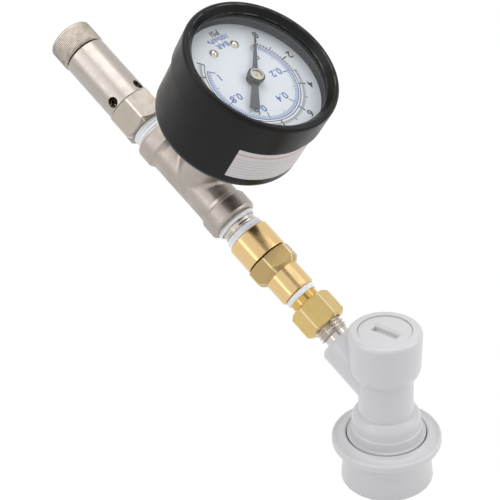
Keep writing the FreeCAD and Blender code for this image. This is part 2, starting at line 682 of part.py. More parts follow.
def disconnect_poppet():
    """Poppet whose pin opens the keg post's own valve."""
    groove_r = POPPET_SEAL_MID_R - POPPET_SEAL_R
    head_low = poppet_seal_z() + POPPET_SEAL_R
    head_high = head_low + POPPET_HEAD_T
    top = head_high + POPPET_GUIDE_L
    return turned(
        (0, POPPET_PIN_Z), (POPPET_PIN_R - 0.5, POPPET_PIN_Z), (POPPET_PIN_R, POPPET_PIN_Z + 0.5),
        (POPPET_PIN_R, head_low - 2 * POPPET_SEAL_R), (groove_r, head_low - 2 * POPPET_SEAL_R), (groove_r, head_low),
        (POPPET_HEAD_R, head_low), (POPPET_HEAD_R, head_high), (POPPET_GUIDE_R, head_high),
        (POPPET_GUIDE_R, top - 0.5), (POPPET_GUIDE_R - 0.5, top), (0, top))


def poppet_seal():
    """Rubber ring under the poppet's head."""
    return torus(POPPET_SEAL_MID_R, POPPET_SEAL_R, poppet_seal_z())


def poppet_spring():
    """Spring between the poppet's head and the hollow of the plug."""
    start = poppet_seal_z() + POPPET_SEAL_R + POPPET_HEAD_T
    return coil(POPPET_COIL_R, POPPET_WIRE_R, start, PLUG_HOLLOW_TOP, POPPET_TURNS)


def top_plug():
    """Screwed plug with a bevelled coin slot."""
    plug = turned(
        (0, PLUG_HOLLOW_TOP), (PLUG_HOLLOW_R, PLUG_HOLLOW_TOP), (PLUG_HOLLOW_R, PLUG_THREAD_Z),
        (PLUG_THREAD_R, PLUG_THREAD_Z), (PLUG_THREAD_R, PLUG_HEAD_Z - ORING_BAND),
        (ORING_GROOVE_R, PLUG_HEAD_Z - ORING_BAND), (ORING_GROOVE_R, PLUG_HEAD_Z),
        (PLUG_HEAD_R, PLUG_HEAD_Z), (PLUG_HEAD_R, PLUG_TOP_Z - 0.4), (PLUG_HEAD_R - 0.4, PLUG_TOP_Z), (0, PLUG_TOP_Z))
    floor = PLUG_TOP_Z - SLOT_DEPTH
    half_l = SLOT_LENGTH / 2
    half_w = SLOT_WIDTH / 2
    slot = Part.makeBox(SLOT_LENGTH, SLOT_WIDTH, SLOT_DEPTH, V(-half_l, -half_w, floor))
    low = [V(x, y, PLUG_TOP_Z - SLOT_BEVEL) for x, y in
           ((-half_l, -half_w), (half_l, -half_w), (half_l, half_w), (-half_l, half_w))]
    high = [V(c.x + math.copysign(SLOT_BEVEL, c.x), c.y + math.copysign(SLOT_BEVEL, c.y), PLUG_TOP_Z) for c in low]
    bevel = Part.makeLoft([Part.makePolygon(low + low[:1]), Part.makePolygon(high + high[:1])], True, True)
    return plug.cut(slot).cut(bevel)


def plug_oring():
    """O-ring squeezed between the plug and the body."""
    middle = (ORING_GROOVE_R + ORING_SEAT_R) / 2
    return torus(middle, ORING_BAND / 2, PLUG_HEAD_Z - ORING_BAND / 2)


# Swivel joint

def flare_stem():
    """Stainless stem moulded into the arm, with a flare thread and a 45 degree nose."""
    thread_start = ARM_END + STEM_NECK_L
    nose_end = STEM_CONE_START + STEM_CONE_R - STEM_CONE_TIP_R
    return turned(
        (PORT_R, STEM_SOCKET_START), (STEM_SOCKET_R, STEM_SOCKET_START), (STEM_SOCKET_R, ARM_END),
        (STEM_NECK_R, ARM_END), (STEM_NECK_R, thread_start), (FLARE_THREAD_R, thread_start + 0.9),
        (FLARE_THREAD_R, STEM_CONE_START - BREAK), (STEM_CONE_R, STEM_CONE_START),
        (STEM_CONE_TIP_R, nose_end), (PORT_R, nose_end))


def flare_washer():
    """Nylon washer between the two cones."""
    nose_end = STEM_CONE_START + STEM_CONE_R - STEM_CONE_TIP_R
    return turned(
        (STEM_CONE_R, STEM_CONE_START), (STEM_CONE_R, STEM_CONE_START + WASHER_T),
        (STEM_CONE_TIP_R, nose_end + WASHER_T), (STEM_CONE_TIP_R, nose_end))


def swivel_nut():
    """Hexagon nut that turns on the stem and pulls the adapter home."""
    nut = hexagon(NUT_FLATS, NUT_START, NUT_END, NUT_PHASE, NUT_FACE_DROP, NUT_CHAMFER, NUT_CHAMFER)
    shoulder = NUT_END - NUT_WALL
    thread_r = FLARE_THREAD_R + RUNNING_GAP
    way = turned(
        (0, NUT_START), (thread_r + BREAK, NUT_START), (thread_r, NUT_START + BREAK), (thread_r, shoulder),
        (ADAPTER_NECK_R + RUNNING_GAP, shoulder), (ADAPTER_NECK_R + RUNNING_GAP, NUT_END), (0, NUT_END))
    return nut.cut(way)


def flare_adapter():
    """Brass tail piece with a flared head, a neck and a pipe thread."""
    seat_start = STEM_CONE_START + WASHER_T
    seat_end = seat_start + STEM_CONE_R - STEM_CONE_TIP_R
    head_r = FLARE_THREAD_R - 0.02
    head_end = NUT_END - NUT_WALL - FACE_GAP
    waist_start = NUT_END + LOOSE_GAP
    end = CHECK_START + ADAPTER_THREAD_L
    return turned(
        (STEM_CONE_R, seat_start), (head_r, seat_start), (head_r, head_end), (ADAPTER_NECK_R, head_end),
        (ADAPTER_NECK_R, waist_start), (ADAPTER_WAIST_R, waist_start), (ADAPTER_WAIST_R, WAIST_END),
        (ADAPTER_THREAD_R, WAIST_END), (ADAPTER_THREAD_R, end), (PORT_R, end), (PORT_R, seat_end),
        (STEM_CONE_TIP_R, seat_end))


def adapter_tape():
    """Sealing tape between the adapter's neck and the check valve."""
    return tape_ring(ADAPTER_THREAD_R, WAIST_END, CHECK_START, FINE_PIPE_PITCH)


# Check valve

def check_valve_cap():
    """Narrow end and hexagon of the check valve, with the seat inside."""
    narrow = turned(
        (0, CHECK_START), (CHECK_NARROW_R - BREAK, CHECK_START), (CHECK_NARROW_R, CHECK_START + BREAK),
        (CHECK_NARROW_R, CHECK_HEX_START), (0, CHECK_HEX_START))
    hexa = hexagon(CHECK_FLATS, CHECK_HEX_START, CHECK_HEX_END, CHECK_HEX_PHASE,
                   CHECK_FACE_DROP, CHECK_CHAMFER_LOW, CHECK_CHAMFER_HIGH)
    spigot = cylinder(PIPE_R, CHECK_HEX_END, CHECK_HEX_END + CHECK_SPIGOT_L)
    cap = narrow.fuse(hexa).fuse(spigot)
    way = turned(
        (0, CHECK_START), (ADAPTER_THREAD_R, CHECK_START), (ADAPTER_THREAD_R, CHECK_WEB_START),
        (CHECK_SEAT_R, CHECK_WEB_START), (CHECK_SEAT_R, CHECK_SEAT), (CHECK_BORE_R, CHECK_SEAT),
        (CHECK_BORE_R, CHECK_HEX_END + CHECK_SPIGOT_L), (0, CHECK_HEX_END + CHECK_SPIGOT_L))
    return cap.cut(way)


def check_valve_body():
    """Wide end of the check valve, screwed over the cap's spigot."""
    return turned(
        (PIPE_R, CHECK_HEX_END), (CHECK_WIDE_R - BREAK, CHECK_HEX_END), (CHECK_WIDE_R, CHECK_HEX_END + BREAK),
        (CHECK_WIDE_R, CHECK_END - BREAK), (CHECK_WIDE_R - BREAK, CHECK_END), (PIPE_R, CHECK_END))


def check_poppet():
    """Spring-loaded poppet of the check valve."""
    groove_r = CHECK_RING_MID_R - CHECK_RING_R
    stem_end = RETAINER_START + RETAINER_T + 0.6
    return turned(
        (0, CHECK_SEAT - CHECK_NOSE_L), (CHECK_NOSE_R - 0.4, CHECK_SEAT - CHECK_NOSE_L), (CHECK_NOSE_R, CHECK_SEAT),
        (CHECK_NOSE_R, CHECK_SEAT + SEAL_GAP), (groove_r, CHECK_SEAT + SEAL_GAP), (groove_r, CHECK_DISC_START),
        (CHECK_DISC_R, CHECK_DISC_START), (CHECK_DISC_R, CHECK_DISC_END), (CHECK_STEM_R, CHECK_DISC_END),
        (CHECK_STEM_R, stem_end), (0, stem_end))


def check_oring():
    """Rubber ring that the check poppet presses on the seat."""
    return torus(CHECK_RING_MID_R, CHECK_RING_R, CHECK_SEAT + SEAL_GAP + CHECK_RING_R)


def check_spring():
    """Return spring of the check valve."""
    return coil(CHECK_COIL_R, CHECK_WIRE_R, CHECK_DISC_END, RETAINER_START, CHECK_TURNS)


def check_retainer():
    """Drilled disc that guides the poppet's stem and holds the spring."""
    disc = cylinder(CHECK_BORE_R, RETAINER_START, RETAINER_START + RETAINER_T)
    disc = disc.cut(cylinder(CHECK_STEM_R + RUNNING_GAP, RETAINER_START, RETAINER_START + RETAINER_T))
    for index in range(RETAINER_HOLES):
        at = polar(RETAINER_RING_R + 0.3, index * 360 / RETAINER_HOLES)
        disc = disc.cut(cylinder(RETAINER_HOLE_R, RETAINER_START, RETAINER_START + RETAINER_T, at))
    return disc


# Nipple and tee

def pipe_nipple():
    """Stainless nipple with a smooth bore."""
    start = CHECK_END - NIPPLE_GRIP
    end = TEE_START + NIPPLE_GRIP
    return turned(
        (NIPPLE_BORE_R, start), (PIPE_R - BREAK, start), (PIPE_R, start + BREAK),
        (PIPE_R, end - BREAK), (PIPE_R - BREAK, end), (NIPPLE_BORE_R, end))


def tee_limb(length):
    """One limb of the tee from its middle: a round run that swells into a band."""
    band_start = length - TEE_BAND_L
    swell = (TEE_BAND_R - TEE_R) / 3
    return turned(
        (0, 0), (TEE_R, 0), (TEE_R, band_start - TEE_BAND_SWELL), (TEE_R + swell, band_start - swell),
        (TEE_BAND_R - swell, band_start), (TEE_BAND_R, band_start + 2 * swell), (TEE_BAND_R, length - TEE_BAND_EDGE),
        (TEE_BAND_R - swell, length - swell), (TEE_BAND_R - TEE_BAND_EDGE, length), (0, length))


def tee_body():
    """Cast tee: a run with two banded ends and a banded branch for the gauge."""
    run = tee_limb(TEE_HALF).fuse(tee_limb(TEE_HALF).mirror(V(0, 0, 0), Z_AXIS)).removeSplitter()
    branch = tee_limb(TEE_HALF)
    branch.rotate(V(0, 0, 0), Y_AXIS, 90)
    tee = run.fuse(branch)
    saddle = [e for e in tee.Edges if is_saddle(e)]
    tee = tee.makeFillet(TEE_SADDLE, saddle)
    ends = ((V(0, 0, 1), 0), (V(0, 0, -1), 0), (V(1, 0, 0), 0))
    for direction, start in ends:
        tee = tee.cut(Part.makeCylinder(TEE_BORE_R, TEE_HALF + 1, V(0, 0, 0), direction))
        mouth = direction * (TEE_HALF - TEE_THREAD_L)
        tee = tee.cut(Part.makeCylinder(PIPE_R, TEE_THREAD_L + 1, mouth, direction))
    tee.translate(V(0, 0, TEE_MIDDLE))
    return tee


def is_saddle(edge):
    """Whether an edge is part of the curve where the branch meets the run."""
    box = edge.BoundBox
    near = max(abs(box.ZMin), abs(box.ZMax)) < TEE_R + 0.5 and box.XMax < TEE_R + 0.5 and box.XMin > -0.5
    return near and edge.Length > 2.0 and not isinstance(edge.Curve, (Part.Circle, Part.Line))


# Relief valve

def relief_base():
    """Hexagon base with its pipe thread and a raised nozzle for the seat disc."""
    start = TEE_END - RELIEF_GRIP
    spigot_floor = RELIEF_HEX_END - RELIEF_SPIGOT_L
    thread = turned((0, start), (PIPE_R - BREAK, start), (PIPE_R, start + BREAK), (PIPE_R, RELIEF_HEX_START),
                    (0, RELIEF_HEX_START))
    hexa = hexagon(RELIEF_FLATS, RELIEF_HEX_START, RELIEF_HEX_END, RELIEF_HEX_PHASE,
                   RELIEF_FACE_DROP, RELIEF_CHAMFER_LOW, RELIEF_CHAMFER_HIGH)
    base = thread.fuse(hexa)
    base = base.cut(cylinder(RELIEF_SPIGOT_R, spigot_floor, RELIEF_HEX_END))
    base = base.fuse(cylinder(RELIEF_NOZZLE_R, spigot_floor - 0.5, NOZZLE_TOP))
    return base.cut(cylinder(RELIEF_INLET_R, start, NOZZLE_TOP))


def relief_barrel():
    """Barrel with four vent holes, screwed into the base."""
    foot = RELIEF_HEX_END - RELIEF_SPIGOT_L
    barrel = turned(
        (RELIEF_BORE_R, foot), (RELIEF_SPIGOT_R, foot), (RELIEF_SPIGOT_R, RELIEF_HEX_END),
        (RELIEF_BARREL_R - BREAK, RELIEF_HEX_END), (RELIEF_BARREL_R, RELIEF_HEX_END + BREAK),
        (RELIEF_BARREL_R, BARREL_END - BREAK), (RELIEF_BARREL_R - BREAK, BARREL_END), (RELIEF_BORE_R, BARREL_END))
    for index in range(VENT_COUNT):
        side = polar(1, VENT_PHASE + index * 360 / VENT_COUNT)
        barrel = barrel.cut(Part.makeCylinder(VENT_R, RELIEF_BARREL_R + 1, V(0, 0, RELIEF_HEX_END + VENT_RISE), side))
    return barrel


def relief_seat_disc():
    """Rubber disc held in the poppet's cup."""
    return cylinder(SEAT_DISC_R, DISC_START, DISC_START + SEAT_DISC_T)


def relief_poppet():
    """Poppet: a cup for the disc and a stem inside the spring."""
    disc_end = DISC_START + SEAT_DISC_T
    stem_end = CUP_END + RELIEF_STEM_L
    return turned(
        (0, disc_end), (SEAT_DISC_R, disc_end), (SEAT_DISC_R, CUP_START), (RELIEF_CUP_R, CUP_START),
        (RELIEF_CUP_R, CUP_END - BREAK), (RELIEF_CUP_R - BREAK, CUP_END), (RELIEF_STEM_R, CUP_END),
        (RELIEF_STEM_R, stem_end - BREAK), (RELIEF_STEM_R - BREAK, stem_end), (0, stem_end))


def relief_spring():
    """Main spring of the relief valve."""
    return coil(RELIEF_COIL_R, RELIEF_WIRE_R, CUP_END, SPRING_SEAT_START, RELIEF_TURNS)


def relief_spring_seat():
    """Spring seat pushed by the cap's spindle, with a spigot inside the spring."""
    foot = SPRING_SEAT_START - SPRING_SPIGOT_L
    return turned(
        (0, foot), (SPRING_SPIGOT_R - BREAK, foot), (SPRING_SPIGOT_R, foot + BREAK), (SPRING_SPIGOT_R, SPRING_SEAT_START),
        (SPRING_SEAT_R, SPRING_SEAT_START), (SPRING_SEAT_R, SPRING_SEAT_END), (0, SPRING_SEAT_END))


def relief_cap():
    """Adjusting cap: a spindle in the barrel and a straight-knurled head with a rounded end."""
    spindle = cylinder(RELIEF_BORE_R - RUNNING_GAP, SPRING_SEAT_END, CAP_START)
    knurl_end = CAP_START + KNURL_L
    points = []
    for index in range(2 * KNURL_COUNT):
        radius = KNURL_R - KNURL_DEPTH * (index % 2)
        tooth = polar(radius, index * 180 / KNURL_COUNT)
        points.append((tooth.x, tooth.y))
    head = plate(points, CAP_START, KNURL_L)
    crown_z = knurl_end + CAP_DOME_L
    root = (KNURL_R - KNURL_DEPTH, knurl_end)
    crown = turned((0, knurl_end), root, bend(root, (CAP_CROWN_R, crown_z), CAP_CROWN_BEND), (0, crown_z))
    return head.fuse(spindle).fuse(crown)


# Gauge

def gauge_socket():
    """Brass socket: pipe thread, wrench flats, flange inside the case and the Bourdon tube's block."""
    thread = turned(
        (0, GAUGE_STEM_START), (PIPE_R - BREAK, GAUGE_STEM_START), (PIPE_R, GAUGE_STEM_START + BREAK),
        (PIPE_R, SOCKET_NECK_START), (0, SOCKET_NECK_START))
    half = GAUGE_FLATS / 2
    corners = [(-half, -half), (half, -half), (half, half), (-half, half)]
    flats = plate(corners, SOCKET_NECK_START, GAUGE_FLATS_L)
    flats = flats.common(cylinder(GAUGE_NECK_R, SOCKET_NECK_START, CASE_BACK))
    neck = cylinder(half, CASE_BACK, SOCKET_FLANGE_LOW)
    flange = cylinder(SOCKET_FLANGE_R, SOCKET_FLANGE_LOW, SOCKET_FLANGE_TOP)
    side = -BLOCK_WIDTH / 2
    foot = Part.makeBox(TUBE_R + BLOCK_OUT, BLOCK_WIDTH, BLOCK_FOOT_T, V(0, side, SOCKET_FLANGE_TOP))
    tower = Part.makeBox(BLOCK_OUT + BLOCK_IN, BLOCK_WIDTH, TUBE_LOW + TUBE_W - SOCKET_FLANGE_TOP,
                         V(TUBE_R - BLOCK_IN, side, SOCKET_FLANGE_TOP))
    block = foot.fuse(tower)
    way = Part.makeCylinder(PORT_R / 2, TUBE_R, V(0, 0, SOCKET_FLANGE_TOP), X_AXIS)
    rise = cylinder(PORT_R / 2, SOCKET_FLANGE_TOP, TUBE_MIDDLE, V(TUBE_R, 0, 0))
    block.rotate(V(0, 0, 0), Z_AXIS, BLOCK_ANGLE)
    way.rotate(V(0, 0, 0), Z_AXIS, BLOCK_ANGLE)
    rise.rotate(V(0, 0, 0), Z_AXIS, BLOCK_ANGLE)
    socket = thread.fuse(flats).fuse(neck).fuse(flange).fuse(block)
    socket = socket.cut(cylinder(PORT_R, GAUGE_STEM_START, SOCKET_FLANGE_TOP)).cut(way).cut(rise)
    for angle in CASE_SCREW_ANGLES:
        at = polar(CASE_SCREW_PITCH_R, angle)
        socket = socket.cut(cylinder(CASE_SCREW_R, SOCKET_FLANGE_LOW, SOCKET_FLANGE_TOP, at))
    return socket


def gauge_tape():
    """Sealing tape between the tee's branch and the gauge's flats."""
    return tape_ring(PIPE_R, TEE_HALF, SOCKET_NECK_START, PIPE_PITCH)


def gauge_case():
    """Drawn steel case with a rounded back edge."""
    inner_r = CASE_R - CASE_WALL
    edge = CASE_BACK_EDGE
    inner_edge = edge - CASE_WALL
    floor = CASE_BACK + CASE_WALL
    hole_r = GAUGE_FLATS / 2
    back_start = (CASE_R - edge, CASE_BACK)
    floor_start = (inner_r, floor + inner_edge)
    case = turned(
        (hole_r, CASE_BACK), back_start, bend(back_start, (CASE_R, CASE_BACK + edge), 1 - ROUND),
        (CASE_R, CASE_TOP), (inner_r, CASE_TOP),
        floor_start, bend(floor_start, (inner_r - inner_edge, floor)), (hole_r, floor))
    for angle in CASE_SCREW_ANGLES:
        case = case.cut(cylinder(CASE_SCREW_R, CASE_BACK, floor, polar(CASE_SCREW_PITCH_R, angle)))
    return case


def case_screws():
    """Two screws that hold the case to the socket, heads at the back."""
    screws = []
    for angle in CASE_SCREW_ANGLES:
        at = polar(CASE_SCREW_PITCH_R, angle)
        head = cylinder(CASE_SCREW_HEAD_R, CASE_BACK - CASE_SCREW_HEAD_T, CASE_BACK, at)
        shank = cylinder(CASE_SCREW_R, CASE_BACK, SOCKET_FLANGE_TOP, at)
        slot = Part.makeBox(2 * CASE_SCREW_HEAD_R, CASE_SCREW_SLOT, CASE_SCREW_SLOT,
                            V(at.x - CASE_SCREW_HEAD_R, at.y - CASE_SCREW_SLOT / 2, CASE_BACK - CASE_SCREW_HEAD_T))
        screws.append(head.fuse(shank).cut(slot))
    return compound(screws)


def gauge_bezel():
    """Pressed bezel: skirt over the case, rounded rim and a lip that slopes in over the lens."""
    rim_start = (BEZEL_R, BEZEL_TOP - BEZEL_RIM_IN)
    return turned(
        (CASE_R, BEZEL_LOW), (BEZEL_R - BREAK, BEZEL_LOW), (BEZEL_R, BEZEL_LOW + BREAK), rim_start,
        bend(rim_start, (BEZEL_RIM_R, BEZEL_TOP)), (BEZEL_RIM_R - 2 * BREAK, BEZEL_TOP - BREAK / 2),
        (LIP_R, LIP_HIGH), (LIP_R, LIP_LOW), (LENS_R, LIP_LOW), (LENS_R, CASE_TOP), (CASE_R, CASE_TOP))


def gauge_lens():
    """Clear lens under the bezel's lip."""
    return cylinder(LENS_R, LENS_LOW, LIP_LOW)


def lens_gasket():
    """Flat rubber ring between the lens and the case's edge."""
    return cylinder(LENS_R, CASE_TOP, LENS_LOW).cut(cylinder(GASKET_R, CASE_TOP, LENS_LOW))


def dial_screw_places():
    """Centres of the two dial screws."""
    return [polar(DIAL_SCREW_R, 180 + side * DIAL_SCREW_SPREAD) for side in (-1, 1)]


def gauge_dial():
    """Dial plate with a middle hole, two screw holes and a hole for the stop pin."""
    dial = cylinder(DIAL_R, DIAL_LOW, DIAL_TOP).cut(cylinder(DIAL_HOLE_R, DIAL_LOW, DIAL_TOP))
    for at in dial_screw_places():
        dial = dial.cut(cylinder(DIAL_SCREW_SHANK_R, DIAL_LOW, DIAL_TOP, at))
    return dial.cut(cylinder(STOP_PIN_R, DIAL_LOW, DIAL_TOP, stop_pin_place()))


def dial_posts():
    """Two posts from the socket's flange that carry the dial."""
    return compound([cylinder(DIAL_POST_R, SOCKET_FLANGE_TOP, DIAL_LOW, at) for at in dial_screw_places()])


def dial_screws():
    """Two domed dial screws with washers under their heads."""
    screws = []
    low = DIAL_TOP + DIAL_WASHER_T
    top = low + DIAL_SCREW_HEAD_T
    washer_r = DIAL_SCREW_HEAD_R
    rim_r = washer_r - LOOSE_GAP
    for at in dial_screw_places():
        head = turned((0, DIAL_TOP), (washer_r, DIAL_TOP), (washer_r, low), (rim_r, low), dome(rim_r, low, DIAL_SCREW_HEAD_T))
        slot = Part.makeBox(2 * rim_r, SCREW_SLOT, SCREW_SLOT, V(-rim_r, -SCREW_SLOT / 2, top - SCREW_SLOT))
        screw = head.cut(slot)
        screw.translate(V(at.x, at.y, 0))
        screws.append(screw.fuse(cylinder(DIAL_SCREW_SHANK_R, DIAL_LOW, DIAL_TOP, at)))
    return compound(screws)


def pointer_half_width(radius):
    """Half the needle's width at a radius."""
    share = radius / POINTER_TIP
    return POINTER_ROOT_HALF + (POINTER_TIP_HALF - POINTER_ROOT_HALF) * share


def stop_pin_place():
    """Centre of the stop pin, just behind the needle at zero."""
    side = pointer_half_width(STOP_PIN_PITCH_R) + STOP_PIN_R + FACE_GAP
    return polar(STOP_PIN_PITCH_R, SCALE_START + math.degrees(math.asin(side / STOP_PIN_PITCH_R)))


def stop_pin():
    """Pin that the needle rests against at zero."""
    at = stop_pin_place()
    edge = STOP_PIN_R / 2
    pin = turned((0, DIAL_LOW), (STOP_PIN_R, DIAL_LOW), (STOP_PIN_R, STOP_PIN_TOP - edge),
                 (STOP_PIN_R - edge, STOP_PIN_TOP), (0, STOP_PIN_TOP))
    pin.translate(at)
    return pin


def pointer():
    """Tapered needle with a wide flat tail, lying at zero."""
    point = POINTER_TIP + POINTER_TIP_HALF
    needle = [(0, -POINTER_ROOT_HALF), (POINTER_TIP, -POINTER_TIP_HALF), (point, 0), (POINTER_TIP, POINTER_TIP_HALF),
              (0, POINTER_ROOT_HALF), (-HUB_RING_R, POINTER_ROOT_HALF), (-POINTER_TAIL, TAIL_TIP_HALF),
              (-POINTER_TAIL, -TAIL_TIP_HALF), (-HUB_RING_R, -POINTER_ROOT_HALF)]
    blade = plate(needle, POINTER_Z, POINTER_T)
    blade = blade.fuse(cylinder(HUB_RING_R - 0.4, POINTER_Z, POINTER_Z + POINTER_T))
    blade = blade.cut(cylinder(POINTER_ARBOR_R, POINTER_Z, POINTER_Z + POINTER_T))
    blade.rotate(V(0, 0, 0), Z_AXIS, SCALE_START)
    return blade


def pointer_hub():
    """Black hub ring on the needle."""
    low = POINTER_Z + POINTER_T
    high = low + HUB_RING_T
    return turned((HUB_CAP_R, low), (HUB_RING_R, low), (HUB_RING_R, high - BREAK), (HUB_RING_R - BREAK, high),
                  (HUB_CAP_R, high))


def hub_cap():
    """Pale bush in the hub, pressed on the pointer's arbor."""
    low = POINTER_Z + POINTER_T
    high = low + HUB_RING_T - HUB_CAP_T
    return turned((POINTER_ARBOR_R, low), (HUB_CAP_R, low), (HUB_CAP_R, high), (POINTER_ARBOR_R, high))


# Movement

def gear_tooth(pitch_r, teeth, centre_angle, width_shift):
    """Corner points of one tooth: root, flank, tip, flank, root, by radius and angle."""
    root_r = pitch_r - 1.2 * GEAR_MODULE
    tip_r = pitch_r + GEAR_MODULE
    quarter = math.degrees(math.pi * GEAR_MODULE / 4 - width_shift) / pitch_r
    press = math.tan(math.radians(20))
    at_root = quarter + math.degrees(press * (pitch_r - root_r) / pitch_r)
    at_tip = quarter - math.degrees(press * GEAR_MODULE / pitch_r)
    corners = ((root_r, -at_root), (pitch_r, -quarter), (tip_r, -at_tip),
               (tip_r, at_tip), (pitch_r, quarter), (root_r, at_root))
    return [polar(radius, centre_angle + angle) for radius, angle in corners]


def pinion():
    """Twelve-tooth pinion on the pointer's arbor."""
    points = []
    for index in range(PINION_TEETH):
        centre = 180 + (index + 0.5) * 360 / PINION_TEETH
        points += [(p.x, p.y) for p in gear_tooth(PINION_PITCH_R, PINION_TEETH, centre, BACKLASH / 2)]
    teeth = plate(points, PINION_Z, PINION_L)
    arbor_low = BACK_PLATE_Z + 0.1
    arbor = cylinder(ARBOR_R, arbor_low, FRONT_BOSS_TOP + FACE_GAP)
    spindle = cylinder(POINTER_ARBOR_R, FRONT_BOSS_TOP + FACE_GAP, POINTER_Z + POINTER_T + HUB_RING_T - 0.2)
    collet = cylinder(COLLET_R, HAIRSPRING_Z - 0.3, HAIRSPRING_Z + HAIRSPRING_W + 0.3)
    return teeth.fuse(arbor).fuse(spindle).fuse(collet)


def sector_gear():
    """Toothed sector with its arbor, and a tail whose pin carries the drive link."""
    root_r = SECTOR_PITCH_R - 1.2 * GEAR_MODULE
    step = 360 / SECTOR_TEETH_FULL
    first = -math.floor(SECTOR_BACK / step)
    last = math.floor(SECTOR_FRONT / step)
    points = [(0, 0)]
    for index in range(first, last + 1):
        points += [(p.x, p.y) for p in gear_tooth(SECTOR_PITCH_R, SECTOR_TEETH_FULL, index * step, BACKLASH / 2)]
    sector = plate(points, SECTOR_Z, SECTOR_T)
    window_in = SECTOR_HUB_R + 1.6
    window_out = root_r - 2.0
    window_angles = (first * step + 10, last * step - 10)
    window = cylinder(window_out, SECTOR_Z, SECTOR_Z + SECTOR_T).cut(cylinder(window_in, SECTOR_Z, SECTOR_Z + SECTOR_T))
    wedge = [(0, 0)]
    for angle in window_angles:
        corner = polar(2 * window_out, angle)
        wedge.append((corner.x, corner.y))
    sector = sector.cut(window.common(plate(wedge, SECTOR_Z, SECTOR_T)))
    hub = cylinder(SECTOR_HUB_R, SECTOR_Z - 0.4, SECTOR_Z + SECTOR_T + 0.4)
    tail = Part.makeBox(TAIL_LENGTH, 2 * TAIL_HALF, SECTOR_T, V(0, -TAIL_HALF, SECTOR_Z))
    tail = tail.fuse(cylinder(TAIL_HALF, SECTOR_Z, SECTOR_Z + SECTOR_T, V(TAIL_LENGTH, 0, 0)))
    pin_top = SECTOR_Z + SECTOR_T + LINK_T + LINK_PIN_R
    tail = tail.fuse(cylinder(LINK_PIN_R, SECTOR_Z, pin_top, V(TAIL_LENGTH, 0, 0)))
    tail.rotate(V(0, 0, 0), Z_AXIS, TAIL_ANGLE)
    arbor = cylinder(SECTOR_ARBOR_R, BACK_PLATE_Z + 0.1, FRONT_PLATE_Z + PLATE_T - 0.1)
    gear = sector.fuse(hub).fuse(tail).fuse(arbor)
    gear.translate(SECTOR_PIVOT)
    return gear


def link_pivot():
    """Where the drive link turns on the sector's tail."""
    return SECTOR_PIVOT + polar(TAIL_LENGTH, TAIL_ANGLE)


def tip_place():
    """Where the drive link meets the Bourdon tube's tip."""
    return polar(TUBE_R - TIP_PIN_IN, TUBE_END + TIP_PIN_TURN)


def drive_link():
    """Flat link from the sector's tail to the Bourdon tube's tip."""
    low = SECTOR_Z + SECTOR_T + LINK_GAP
    reach = tip_place() - link_pivot()
    length = reach.Length
    link = Part.makeBox(length, 2 * LINK_HALF, LINK_T, V(0, -LINK_HALF, low))
    for x in (0, length):
        link = link.fuse(cylinder(LINK_HALF, low, low + LINK_T, V(x, 0, 0)))
    for x in (0, length):
        link = link.cut(cylinder(LINK_PIN_R + RUNNING_GAP, low, low + LINK_T, V(x, 0, 0)))
    link.rotate(V(0, 0, 0), Z_AXIS, math.degrees(math.atan2(reach.y, reach.x)))
    link.translate(link_pivot())
    return link


def flat_oval(width, height):
    """Closed outline of a flattened tube's section with broken corners."""
    half_w = width / 2
    half_h = height / 2
    flat = half_h - half_w
    corners = ((-half_w, -flat), (-half_w / 2, -half_h), (half_w / 2, -half_h), (half_w, -flat),
               (half_w, flat), (half_w / 2, half_h), (-half_w / 2, half_h), (-half_w, flat))
    return [(TUBE_R + x, TUBE_MIDDLE + z) for x, z in corners]


def bourdon_tube():
    """Flattened tube bent nearly full circle, fixed in the socket's block."""
    sweep = TUBE_END - TUBE_START
    tube = turned(*flat_oval(TUBE_T, TUBE_W), sweep=sweep)
    inner = turned(*flat_oval(TUBE_T - 2 * TUBE_WALL, TUBE_W - 2 * TUBE_WALL), sweep=sweep)
    tube = tube.cut(inner)
    tube.rotate(V(0, 0, 0), Z_AXIS, TUBE_START)
    return tube


def bourdon_tip():
    """Closed tip soldered on the tube, with the pin for the drive link."""
    sweep = math.degrees(TIP_LENGTH / TUBE_R)
    inner = TUBE_R - TUBE_T / 2 - TIP_WALL
    outer = TUBE_R + TUBE_T / 2 + TIP_WALL
    low = TUBE_MIDDLE - TIP_DROP
    high = SECTOR_Z + SECTOR_T
    tip = turned((inner, low), (outer, low), (outer, high), (inner, high), sweep=sweep)
    tip.rotate(V(0, 0, 0), Z_AXIS, TUBE_END)
    pin = cylinder(LINK_PIN_R, SECTOR_Z, high + LINK_T + LINK_PIN_R, tip_place())
    return tip.fuse(pin)


def plate_outline(low):
    """Movement plate round both arbors and the pillars."""
    margin = PLATE_MARGIN
    bars = [((0, 0), (SECTOR_PIVOT.x, 0))]
    bars += [((0, 0), place) for place in PILLARS[:2]]
    bars.append(((SECTOR_PIVOT.x, 0), PILLARS[2]))
    shape = cylinder(margin, low, low + PLATE_T)
    for (ax, ay), (bx, by) in bars:
        length = math.hypot(bx - ax, by - ay)
        bar = Part.makeBox(length, 2 * margin, PLATE_T, V(0, -margin, low))
        bar.rotate(V(0, 0, 0), Z_AXIS, math.degrees(math.atan2(by - ay, bx - ax)))
        bar.translate(V(ax, ay, 0))
        shape = shape.fuse(bar).fuse(cylinder(margin, low, low + PLATE_T, V(bx, by, 0)))
    shape = shape.removeSplitter()
    return shape


def movement_plate(low, spigot_holes):
    """One movement plate with its pivot holes, and holes for the pillars' spigots."""
    shape = plate_outline(low)
    shape = shape.cut(cylinder(ARBOR_R + RUNNING_GAP, low, low + PLATE_T))
    shape = shape.cut(cylinder(SECTOR_ARBOR_R + RUNNING_GAP, low, low + PLATE_T, SECTOR_PIVOT))
    for x, y in PILLARS:
        shape = shape.cut(cylinder(spigot_holes, low, low + PLATE_T, V(x, y, 0)))
    return shape


